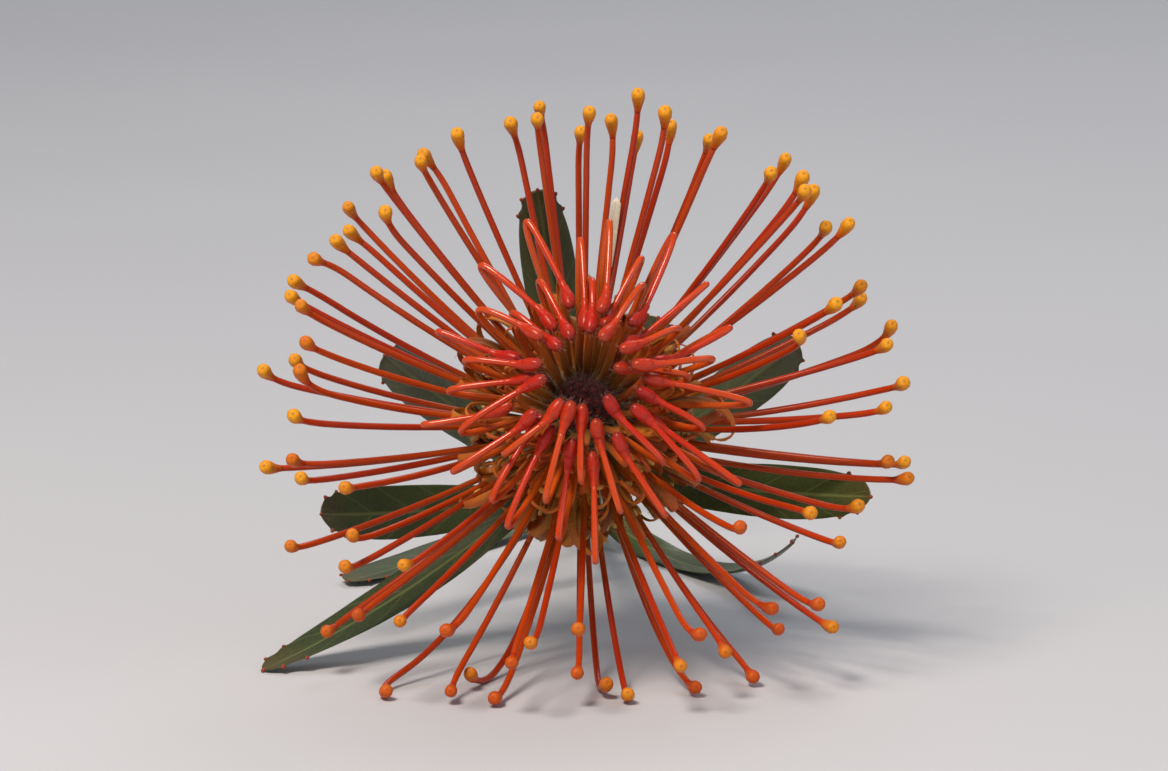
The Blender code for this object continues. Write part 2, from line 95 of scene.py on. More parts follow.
def drawn(spans: Iterable[Span], share: float, draw: random.Random) -> list[float]:
    """For each span, the value this far from its first to its second one, strayed by its third."""
    return [mix(first, last, share) + vary(draw, stray) for first, last, stray in spans]


def table(rows: Outline, place: float) -> float:
    """The value that a table of places and values gives at a place, with straight runs between."""
    return float(np.interp(place, [row[0] for row in rows], [row[1] for row in rows]))


def rounded(rows: Outline, place: float) -> float:
    """Like table, but each run between two rows eases in and out."""
    for (low, first), (high, last) in zip(rows, rows[1:]):
        if place <= high:
            share = max(0.0, (place - low) / (high - low))
            return mix(first, last, share * share * (3.0 - 2.0 * share))
    return rows[-1][1]


def bezier(start: Vector, leaving: Vector, arriving: Vector, end: Vector, steps: int) -> list[Vector]:
    """Points along a cubic Bezier curve.

    Args:
        start: The first point.
        leaving: The handle of the first point.
        arriving: The handle of the last point.
        end: The last point.
        steps: The number of runs between points.

    Returns:
        One more point than there are steps.
    """
    points = []
    for step in range(steps + 1):
        t = step / steps
        u = 1.0 - t
        points.append(start * u**3 + leaving * (3 * u * u * t) + arriving * (3 * u * t * t) + end * t**3)
    return points


def places_along(points: Route) -> np.ndarray:
    """The distance of each point from the first, along the route."""
    steps = [(after - before).length for before, after in zip(points, points[1:])]
    return np.concatenate(([0.0], np.cumsum(steps)))


def point_at(points: Route, distance: float) -> Vector:
    """The point at a distance along a route, from a cubic through its neighbours.

    Args:
        points: The route.
        distance: How far along it the point lies.

    Returns:
        The point.
    """
    places = places_along(points)
    last = len(points) - 1
    index = int(np.clip(np.searchsorted(places, distance) - 1, 0, last - 1))
    t = float(np.clip((distance - places[index]) / (places[index + 1] - places[index]), 0.0, 1.0))
    a, b = points[max(index - 1, 0)], points[index]
    c, d = points[index + 1], points[min(index + 2, last)]
    return 0.5 * (2.0 * b + (c - a) * t + (2.0 * a - 5.0 * b + 4.0 * c - d) * t**2
                  + (3.0 * b - a - 3.0 * c + d) * t**3)


def length_of(points: Route) -> float:
    """The length of a route."""
    return float(places_along(points)[-1])


def spaced(count: int, crowding: float = 1.0) -> list[float]:
    """Shares from 0 to 1, even or crowded towards the end by a power."""
    return [1.0 - (1.0 - i / (count - 1)) ** crowding for i in range(count)]


def stretch(points: Route, start: float, end: float, shares: Sequence[float]) -> list[Vector]:
    """Points at shares of the part of a route that lies between two distances along it."""
    return [point_at(points, mix(start, end, share)) for share in shares]


def headings(points: Route) -> list[Vector]:
    """The unit direction of a route at each of its points."""
    last = len(points) - 1
    return [(points[min(i + 1, last)] - points[max(i - 1, 0)]).normalized() for i in range(last + 1)]


def squared(way: Vector, heading: Vector) -> Vector:
    """The unit vector of the part of a way that is square to a heading."""
    return (way - heading * way.dot(heading)).normalized()


def square_to(route: Route, side: Vector) -> list[Vector]:
    """At each point of a route, the unit vector that is square to it and to a sideways vector."""
    return [side.cross(heading).normalized() for heading in headings(route)]


# ---------------------------------------------------------------- the head's place


@dataclass(frozen=True)
class Head:
    """The flower head: its place, the way it faces, and the cone that carries the florets.

    Angles round it start at the right and turn up. Heights run along the way it faces.
    """

    centre: Vector
    tilt: float
    radius: float = 8.5 * MM
    height: float = 24.0 * MM
    seats: int = 150
    seat_shift: float = 0.6
    golden_angle: float = math.radians(137.508)
    first_azimuth: float = math.radians(250.0)

    @property
    def facing(self) -> Vector:
        """The unit vector along the axis, the way the flower faces."""
        return Vector((0.0, -math.cos(self.tilt), math.sin(self.tilt)))

    def outward(self, azimuth: float) -> Vector:
        """The unit vector away from the axis at an angle round it."""
        upward = Vector((0.0, math.sin(self.tilt), math.cos(self.tilt)))
        return RIGHT * math.cos(azimuth) + upward * math.sin(azimuth)

    def point(self, radius: float, height: float, azimuth: float) -> Vector:
        """A point from its distance off the axis, its height along it and its angle round it."""
        return self.centre + self.facing * height + self.outward(azimuth) * radius

    def seat(self, slot: float) -> Pair:
        """Radius and height on the cone of a share of its florets, 0 at the rim to 1."""
        return self.radius * math.sqrt(1.0 - slot), self.height * slot

    def numbered(self, number: int) -> Pair:
        """Radius and height on the cone of the seat with this number."""
        return self.seat((number + self.seat_shift) / self.seats)

    def azimuth(self, number: int) -> float:
        """The angle round the axis of a floret, from its number."""
        return self.first_azimuth + number * self.golden_angle

    def forward(self, away: Vector, shares: Pair) -> Vector:
        """A unit vector made of a share outwards and a share the way the flower faces."""
        return (away * shares[0] + self.facing * shares[1]).normalized()


@dataclass(frozen=True)
class StemLine:
    """The middle line of the stem: an arc down from the head, then a run along the floor."""

    tilt: float = math.radians(28.0)
    head_height: float = 41.0 * MM
    neck_radius: float = 3.0 * MM
    cut_radius: float = 3.5 * MM
    lying_run: float = 30.0 * MM

    @property
    def arc(self) -> float:
        """The length of the arc that brings the stem down to the floor."""
        return (self.head_height - self.cut_radius) * self.tilt / (1.0 - math.cos(self.tilt))

    @property
    def length(self) -> float:
        """The whole length from the head to the cut."""
        return self.arc + self.lying_run

    def head(self) -> Head:
        """The head at the upper end of the stem, placed from the box of the stem's solid."""
        low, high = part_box("stem")
        reach = self.arc / self.tilt * math.sin(self.tilt) + self.lying_run
        centre = Vector((0.5 * (low.x + high.x), high.y - reach, low.z + self.head_height))
        return Head(centre, self.tilt)

    def point(self, centre: Vector, distance: float) -> tuple[Vector, Vector]:
        """The middle of the stem at a distance behind the head, and its heading there.

        Args:
            centre: Where the line starts, the head's centre.
            distance: The distance behind it along the stem.

        Returns:
            The point and the unit vector along the stem.
        """
        curved = min(distance, self.arc)
        slope = self.tilt * (1.0 - curved / self.arc)
        bend = self.arc / self.tilt
        along = bend * (math.sin(self.tilt) - math.sin(slope)) + max(0.0, distance - self.arc)
        drop = bend * (math.cos(slope) - math.cos(self.tilt))
        place = centre + Vector((0.0, along, -drop))
        return place, Vector((0.0, math.cos(slope), -math.sin(slope)))

    def radius(self, distance: float) -> float:
        """The radius of the stem at a distance behind the head."""
        return mix(self.neck_radius, self.cut_radius, distance / self.length)


# ---------------------------------------------------------------- routes of the florets


@dataclass(frozen=True)
class FloretSizes:
    """The sizes that the florets' solids are made from.

    A span has the values for the outermost and the innermost floret, and how far one may stray.
    """

    count: int = 120
    opened: int = 84
    seed: int = 4107
    attempts: int = 240
    stride: int = 101
    clearance: float = 0.42 * MM
    packed: float = 6.0 * MM
    length: float = 55.0 * MM
    style: float = 0.62 * MM
    steps: int = 36
    leaving: Span = (106.0, 68.0, 5.0)
    sweep: Span = (38.0, 32.0, 12.0)
    hook: Span = (30.0, 30.0, 34.0)
    lean: Span = (0.0, 0.0, 5.0)
    curl: Span = (0.0, 0.0, 30.0)
    hook_start: float = 0.76
    crooked_share: float = 0.2
    crooked_curl: float = 2.6
    length_stray: float = 0.06
    stray: int = 13
    stray_shape: tuple[float, float, float] = (66.0 * MM, 20.0, 75.0)
    open_offset: float = 0.2 * MM
    looped_offset: float = 0.55 * MM
    tube_end: float = 12.0 * MM
    knob: float = 5.5 * MM
    knob_radius: float = 1.2 * MM
    reach: Span = (34.0 * MM, 19.0 * MM, 2.5 * MM)
    limb_radius: Span = (17.0 * MM, 9.8 * MM, 1.6 * MM)
    limb_height: Span = (34.0 * MM, 39.5 * MM, 2.5 * MM)
    pitch: Span = (28.0, 28.0, 14.0)
    limb_side: Span = (0.0, 0.0, 11.0)
    bow_side: Span = (0.0, 0.0, 10.0)
    claw_radii: Pair = (0.55 * MM, 0.65 * MM)
    claw_handles: Pair = (9.0 * MM, 6.0 * MM)
    claw_leaves: Pair = (0.45, 0.9)
    bow_leaves: Pair = (0.86, 0.5)
    bow_arrives: Pair = (0.97, -0.06)
    bow_fullness: float = 0.75
    limb_length: float = 4.6 * MM
    limb_girth: float = 1.2 * MM
    limb_outline: Outline = ((0.3, 1.0), (0.75, 0.9), (1.0, 0.3))
    claw_steps: int = 10
    loop_steps: int = 24
    slit_step: int = 3


class Floret:
    """One floret: its seat, and the routes of its parts, as its solid has them."""

    def __init__(self, head: Head, sizes: FloretSizes, number: int, attempt: int) -> None:
        """Draw the floret.

        Args:
            head: The head that it stands on.
            sizes: The sizes of all florets.
            number: Its place in the spiral, 0 for the outermost.
            attempt: How many times it has been drawn again.
        """
        draw = random.Random(sizes.seed + sizes.stride * number + attempt)
        self.head = head
        self.sizes = sizes
        self.number = number
        self.azimuth = head.azimuth(number)
        self.away = head.outward(self.azimuth)
        self.side = head.facing.cross(self.away)
        radius, height = head.numbered(number)
        opened = number < sizes.opened
        offset = sizes.open_offset if opened else sizes.looped_offset
        self.base = head.point(radius + offset, height, self.azimuth)
        self.tubes = [self.open_tube(draw)] if opened else self.looped_tubes(draw)

    def open_tube(self, draw: random.Random) -> tuple[list[Vector], list[float]]:
        """The route and the radii of an open floret, from its seat to the end of its knob."""
        sizes = self.sizes
        share = self.number / (sizes.opened - 1)
        spans = sizes.leaving, sizes.sweep, sizes.hook, sizes.lean, sizes.curl
        start, sweep, hook, lean, curl = drawn(spans, share, draw)
        if draw.random() < sizes.crooked_share:
            curl *= sizes.crooked_curl
        length = sizes.length * (1.0 + vary(draw, sizes.length_stray))
        if self.number == sizes.stray:
            length, hook, curl = sizes.stray_shape
        shape = (start, sweep, hook, lean, curl, length)
        return settled(lambda lift: self.open_route(shape, lift), lowest)

    def open_route(self, shape: tuple[float, ...], lift: float) -> tuple[list[Vector], list[float]]:
        """The points and radii of an open floret that is bent up by lift towards its tip.

        Args:
            shape: Leaving angle, sweep, hook, lean, curl and length.
            lift: How strongly it bends up, 0 for not at all.

        Returns:
            The points, and the radius at each.
        """
        start, sweep, hook, lean, curl, length = shape
        sizes, facing = self.sizes, self.head.facing
        points = [self.base.copy()]
        for step in range(sizes.steps):
            share = (step + 0.5) / sizes.steps
            tip = max(0.0, (share - sizes.hook_start) / (1.0 - sizes.hook_start)) ** 2
            polar = math.radians(start - sweep * share - hook * tip)
            side = math.radians(lean + curl * tip)
            flat = self.away * math.cos(side) + self.side * math.sin(side)
            heading = facing * math.cos(polar) + flat * math.sin(polar)
            heading = (heading + UP * (lift * share**2)).normalized()
            points.append(points[-1] + heading * (length / sizes.steps))
        knob, fat = length - sizes.knob, sizes.knob_radius
        rows = (
            (0.0, 0.75 * MM), (3.0 * MM, 1.0 * MM), (9.0 * MM, 1.0 * MM),
            (sizes.tube_end, sizes.style), (knob, sizes.style),
            (knob + 0.55 * sizes.knob, fat), (knob + 0.85 * sizes.knob, 0.9 * fat),
            (length, 0.3 * fat))
        radii = [table(rows, length * step / sizes.steps) for step in range(sizes.steps + 1)]
        return points, radii

    def looped_tubes(self, draw: random.Random) -> list[tuple[list[Vector], list[float]]]:
        """The tubes of a looped floret: the claws with the limb on them, and the style."""
        sizes, head = self.sizes, self.head
        share = (self.number - sizes.opened) / (sizes.count - sizes.opened - 1)
        lengths = sizes.reach, sizes.limb_radius, sizes.limb_height
        reach, limb_radius, limb_height = drawn(lengths, share, draw)
        angles = drawn((sizes.pitch, sizes.limb_side, sizes.bow_side), share, draw)
        pitch, limb_turn, bow_turn = (math.radians(angle) for angle in angles)
        limb_azimuth = self.azimuth + limb_turn
        bow_side = head.outward(self.azimuth + bow_turn)
        limb = head.point(limb_radius, limb_height, limb_azimuth)
        inward = head.facing * math.sin(pitch) - head.outward(limb_azimuth) * math.cos(pitch)
        leaving = self.base + head.forward(self.away, sizes.claw_leaves) * sizes.claw_handles[0]
        self.claw_handles = (self.base, leaving, limb - inward * sizes.claw_handles[1], limb)
        claws = bezier(*self.claw_handles, sizes.claw_steps)
        slit = claws[sizes.slit_step]
        slit_radius = (slit - head.centre).dot(self.away)
        handle = (reach - 0.5 * (slit_radius + limb_radius)) / sizes.bow_fullness
        leave = head.forward(bow_side, sizes.bow_leaves)
        arrive = head.forward(bow_side, sizes.bow_arrives)
        self.bow_handles = (slit, slit + leave * handle, limb + arrive * handle, limb)
        self.limb, self.inward = limb, inward
        bow = bezier(*self.bow_handles, sizes.loop_steps)
        claw_radii = [mix(*sizes.claw_radii, i / sizes.claw_steps) for i in range(len(claws))]
        tip = [limb + inward * sizes.limb_length * part for part, _ in sizes.limb_outline]
        tip_radii = [sizes.limb_girth * girth for _, girth in sizes.limb_outline]
        return [(claws + tip, claw_radii + tip_radii), (bow, [sizes.style] * len(bow))]

    @property
    def route(self) -> list[Vector]:
        """The middle line of an open floret, from its seat to the end of its knob."""
        return self.tubes[0][0]

    def samples(self) -> np.ndarray:
        """Rows of x, y, z, radius and distance from the seat, for the clearance test."""
        return np.array([
            (*point, radius, (point - self.base).length)
            for tube in self.tubes for point, radius in zip(*tube)])


def lowest(route: tuple[list[Vector], list[float]]) -> float:
    """How low a route of points and radii reaches."""
    return min(point.z - radius for point, radius in zip(*route))


def settled(shape_at: Callable[[float], Any], lowest_of: Callable[[Any], float],
            most: float = 3.0, halvings: int = 30) -> Any:
    """The shape with the least lift that keeps it on the floor or above it.

    Args:
        shape_at: Gives the shape for a lift.
        lowest_of: Gives how low a shape reaches.
        most: The greatest lift.
        halvings: How often the range of lifts is halved.

    Returns:
        The shape.
    """
    if lowest_of(shape_at(0.0)) >= 0.0:
        return shape_at(0.0)
    low, high = 0.0, most
    for _ in range(halvings):
        middle = 0.5 * (low + high)
        if lowest_of(shape_at(middle)) < 0.0:
            low = middle
        else:
            high = middle
    return shape_at(high)


def least_gap(mine: np.ndarray, others: np.ndarray | None, packed: float) -> float:
    """The gap between one floret's samples and those of the others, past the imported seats."""
    if others is None:
        return math.inf
    gaps = np.linalg.norm(mine[:, None, :3] - others[None, :, :3], axis=2)
    gaps -= mine[:, None, 3] + others[None, :, 3]
    close = (mine[:, None, 4] < packed) & (others[None, :, 4] < packed)
    return float(np.min(gaps[~close]))


def grow_florets(head: Head, sizes: FloretSizes) -> list[Floret]:
    """All florets in order, each drawn again until it keeps clear of the earlier ones.

    Args:
        head: The head that they stand on.
        sizes: Their sizes.

    Returns:
        The florets, the same ones that the solids are made from.
    """
    florets, taken = [], None
    for number in range(sizes.count):
        best = (-math.inf, None, None)
        for attempt in range(sizes.attempts):
            floret = Floret(head, sizes, number, attempt)
            mine = floret.samples()
            gap = least_gap(mine, taken, sizes.packed)
            if gap > best[0]:
                best = (gap, floret, mine)
            if gap > sizes.clearance:
                break
        florets.append(best[1])
        taken = best[2] if taken is None else np.vstack((taken, best[2]))
    return florets


# ---------------------------------------------------------------- nodes and finishes

# The kinds of node that come up again and again.
ATTRIBUTE = "ShaderNodeAttribute"
CIRCLE = "GeometryNodeCurvePrimitiveCircle"
COMBINE = "ShaderNodeCombineXYZ"
COORDS = "ShaderNodeTexCoord"
INDEX = "GeometryNodeInputIndex"
MATH = "ShaderNodeMath"
MERGE = "GeometryNodeMergeByDistance"
MIX = "ShaderNodeMix"
MOVE = "GeometryNodeSetPosition"
NAMED = "GeometryNodeInputNamedAttribute"
NOISE = "ShaderNodeTexNoise"
POSITION = "GeometryNodeInputPosition"
RAMP = "ShaderNodeValToRGB"
RANDOM = "FunctionNodeRandomValue"
RANGE = "ShaderNodeMapRange"
REAL = "GeometryNodeRealizeInstances"
STORE = "GeometryNodeStoreNamedAttribute"
SWEPT = "GeometryNodeCurveToMesh"
VECTOR = "ShaderNodeVectorMath"

# The inputs of a node that mixes two colours.
SHARE, FIRST, SECOND = 0, 6, 7

Stops = tuple[tuple[float, str], ...]
Signal = Node | NodeSocket
Put = Callable[..., Node]


def linear(hex_colour: str) -> tuple[float, float, float, float]:
    """The linear colour, with alpha, of an sRGB hex value."""
    channels = [int(hex_colour[i : i + 2], 16) / 255.0 for i in (0, 2, 4)]
    lit = [c / 12.92 if c <= 0.04045 else ((c + 0.055) / 1.055) ** 2.4 for c in channels]
    return (*lit, 1.0)


def add_node(tree: NodeTree, kind: str, *inputs: Any, **settings: Any) -> Node:
    """Add one node with its settings, values and links.

    Args:
        tree: The tree that it goes into.
        kind: Its type name.
        inputs: What each input gets, in order, or dicts of it by the inputs' names or numbers. A
            node's first output or a socket is linked, and a str given to a colour input is an
            sRGB hex value. A MATH or VECTOR node gets its operation before them.
        settings: Its own settings; stops is the list of places and hex colours of a colour ramp.

    Returns:
        The node.
    """
    node = tree.nodes.new(kind)
    if kind in (MATH, VECTOR):
        node.operation, *inputs = inputs
    for name, value in settings.items():
        if name == "stops":
            ramp = node.color_ramp.elements
            for _ in value[2:]:
                ramp.new(0.5)
            for element, (place, colour) in zip(ramp, value):
                element.position = place
                element.color = linear(colour)
        else:
            setattr(node, name, value)
    for place, given in enumerate(inputs):
        for key, value in (given if isinstance(given, dict) else {place: given}).items():
            socket = node.inputs[key]
            if isinstance(value, Node):
                value = value.outputs[0]
            if isinstance(value, NodeSocket):
                tree.links.new(value, socket)
            elif socket.type == "RGBA" and isinstance(value, str):
                socket.default_value = linear(value)
            else:
                socket.default_value = value
    return node


@dataclass(frozen=True)
class Tissue:
    """A plant surface that is coloured along and round the strand that it covers.

    The face colours show on the side that looks the way the strand's flat side does, or the way
    that toward gives, and the back colours on the other side. Where toward is given, the darker
    back colours are painted shade on the side turned away from it. Stops run from foot to tip.
    """

    name: str
    face: Stops
    back: Stops
    toward: Vector | None = None
    tone: str = "FFFFFF"
    tone_share: float = 0.1
    streak: str = "000000"
    streak_share: float = 0.1
    streaks_round: float = 2.5
    streaks_along: float = 5.0
    grain_mm: float = 0.25
    grain_share: float = 0.12
    bump_mm: float = 0.02
    side_edges: Pair = (-0.5, 0.4)
    streak_edges: Pair = (0.35, 0.7)
    grain_edges: Pair = (0.3, 0.7)
    tone_shift: float = 40.0
    roughness: Pair = (0.3, 0.42)
    ior: float = 1.45
    specular: float = 0.4
    coat: float = 0.0
    coat_roughness: float = 0.15
    sheen: float = 0.0
    sheen_tint: str = "FFFFFF"

    def material(self) -> Material:
        """The finished material."""
        material = bpy.data.materials.new(self.name)
        material.use_nodes = True
        material.node_tree.nodes.clear()
        put = partial(add_node, material.node_tree)
        colour, height = self.surface(put)
        smooth, rough = self.roughness
        shader = put("ShaderNodeBsdfPrincipled", {
            "Base Color": colour,
            "Roughness": put(RANGE, height, 0.0, 1.0, rough, smooth),
            "Normal": put("ShaderNodeBump", {
                "Height": height, "Strength": 1.0, "Distance": self.bump_mm * MM}),
            "IOR": self.ior, "Specular IOR Level": self.specular,
            "Coat Weight": self.coat, "Coat Roughness": self.coat_roughness,
            "Sheen Weight": self.sheen, "Sheen Tint": self.sheen_tint})
        put("ShaderNodeOutputMaterial", shader)
        return material

    def surface(self, put: Put) -> tuple[Signal, Signal]:
        """The nodes of the colour and the relief.

        Args:
            put: Adds a node to the material's tree.

        Returns:
            The colour, and a height between 0 and 1.
        """
        tone = put(ATTRIBUTE, attribute_name="tone").outputs["Fac"]
        share = put(MATH, "MULTIPLY", tone, self.tone_share)
        toned = put(MIX, {SHARE: share, FIRST: self.two_sided(put), SECOND: self.tone}, data_type="RGBA")
        streaks = self.streaks(put, tone)
        dark = put(RANGE, streaks, *self.streak_edges, 0.0, self.streak_share)
        streaked = put(MIX, {SHARE: dark, FIRST: toned.outputs[2], SECOND: self.streak}, data_type="RGBA")
        grain = self.grain(put)
        height = put(MIX, {0: 0.5, 2: streaks, 3: grain})
        lit = put(RANGE, grain, *self.grain_edges, 1.0 - self.grain_share, 1.0 + self.grain_share)
        return put(VECTOR, "SCALE", streaked.outputs[2], {"Scale": lit}), height

    def two_sided(self, put: Put) -> Signal:
        """The colour from the place along the strand and the side of it, with painted shade behind where
        toward is given.
        """
        along = put(ATTRIBUTE, attribute_name="along").outputs["Fac"]
        face, back = (put(RAMP, along, stops=stops) for stops in (self.face, self.back))
        if self.toward is None:
            side = put(ATTRIBUTE, attribute_name="side").outputs["Fac"]
        else:
            normal = put(COORDS).outputs["Normal"]
            side = put(VECTOR, "DOT_PRODUCT", normal, self.toward).outputs["Value"]
        share = put(RANGE, side, *self.side_edges)
        return put(MIX, {SHARE: share, FIRST: back, SECOND: face}, data_type="RGBA").outputs[2]

    def streaks(self, put: Put, tone: Signal) -> Signal:
        """Soft streaks that run along the strand, from its own round and long coordinates."""
        side, across, along = (put(ATTRIBUTE, attribute_name=name).outputs["Fac"]
                               for name in ("side", "across", "along"))
        lengthwise = put(MATH, "MULTIPLY", along, self.streaks_along)
        place = put(MATH, "MULTIPLY_ADD", tone, self.tone_shift, lengthwise)
        spread = [put(MATH, "MULTIPLY", field, self.streaks_round) for field in (side, across)]
        return put(NOISE, {"Vector": put(COMBINE, *spread, place), "Scale": 1.0, "Detail": 3.0})

    def grain(self, put: Put) -> Signal:
        """A fine even grain, from the piece's own place."""
        return put(NOISE, {
            "Vector": put(COORDS).outputs["Object"], "Scale": 1.0 / (self.grain_mm * MM),
            "Detail": 2.0})


# ---------------------------------------------------------------- what repeats


@dataclass
class Strand:
    """One route that a profile is swept along, with what its material needs.

    flat is the way that the thin side of the profile looks, one for the route or one a point.
    along is the place from foot to tip at each point, and run is where each point lies on the
    strand's strip of the piece's UV map; both run from 0 to 1 along the route if not given.
    down is how thickly hairs grow, and stout is added to the thin side's half thickness.
    """

    points: list[Vector]
    girths: list[float]
    flat: Vector | list[Vector]
    tone: float = 0.5
    along: list[float] | None = None
    run: list[float] | None = None
    down: float | list[float] = 1.0
    stout: float | list[float] = 0.0

    def rows(self) -> Iterable[tuple[Any, ...]]:
        """For each point: the point, girth, flat side, heading, along, run, down and stout."""
        places = places_along(self.points)
        even = (places / places[-1]).tolist()
        flat, down, stout = (
            value if isinstance(value, list) else [value] * len(self.points)
            for value in (self.flat, self.down, self.stout))
        ahead = headings(self.points)
        flat = [squared(side, way) for side, way in zip(flat, ahead)]
        return zip(self.points, self.girths, flat, ahead, self.along or even, self.run or even,
                   down, stout)


class Recipe:
    """A Geometry Nodes tree, made once, that turns an object into a finished mesh."""

    def __init__(self, name: str, **sockets: str) -> None:
        """Start the tree with its geometry sockets and its named inputs.

        Args:
            name: The tree's name.
            sockets: The names of its inputs, by their type.
        """
        self.tree = bpy.data.node_groups.new(name, "GeometryNodeTree")
        self.put = partial(add_node, self.tree)
        face = self.tree.interface
        for way in ("OUTPUT", "INPUT"):
            face.new_socket(name="Geometry", in_out=way, socket_type="NodeSocketGeometry")
        self.keys = {}
        for kind, labels in sockets.items():
            for label in labels.split():
                socket = face.new_socket(name=label, in_out="INPUT", socket_type="NodeSocket" + kind)
                self.keys[label] = socket.identifier
        self.start = self.put("NodeGroupInput").outputs

    def close(self, shape: Signal) -> None:
        """End the tree: smooth faces, real meshes for instances, and the material."""
        real = self.put(REAL, self.put("GeometryNodeSetShadeSmooth", shape))
        coated = self.put("GeometryNodeSetMaterial", real, {"Material": self.start["Material"]})
        self.put("NodeGroupOutput", coated)

    def seam_free(self, sides: Signal | float) -> Signal:
        """Each face corner's share of the way round a profile, 1 and not 0 past its last side."""
        put = self.put
        around = put(NAMED, "around")
        middle = put("GeometryNodeFieldOnDomain", around, domain="FACE", data_type="FLOAT")
        ahead = put(MATH, "SUBTRACT", middle, around)
        wraps = put(MATH, "GREATER_THAN", ahead, 0.75)
        whole = put(MATH, "MULTIPLY_ADD", wraps, sides, around)
        return put(MATH, "DIVIDE", whole, sides)

    def use(self, thing: Object, values: dict[str, Any]) -> Object:
        """Run the tree on an object and keep the result as its plain mesh.

        Args:
            thing: The object, whose mesh the tree reads.
            values: A value for each named input.

        Returns:
            The same object with its finished mesh and no modifier.
        """
        bpy.context.scene.collection.objects.link(thing)
        modifier = thing.modifiers.new(self.tree.name, "NODES")
        modifier.node_group = self.tree
        for label, value in values.items():
            modifier[self.keys[label]] = value
        thing.update_tag()
        bpy.context.view_layer.update()
        graph = bpy.context.evaluated_depsgraph_get()
        mesh = bpy.data.meshes.new_from_object(thing.evaluated_get(graph))
        thing.modifiers.remove(modifier)
        mesh.name = thing.name
        thing.data = mesh
        return thing


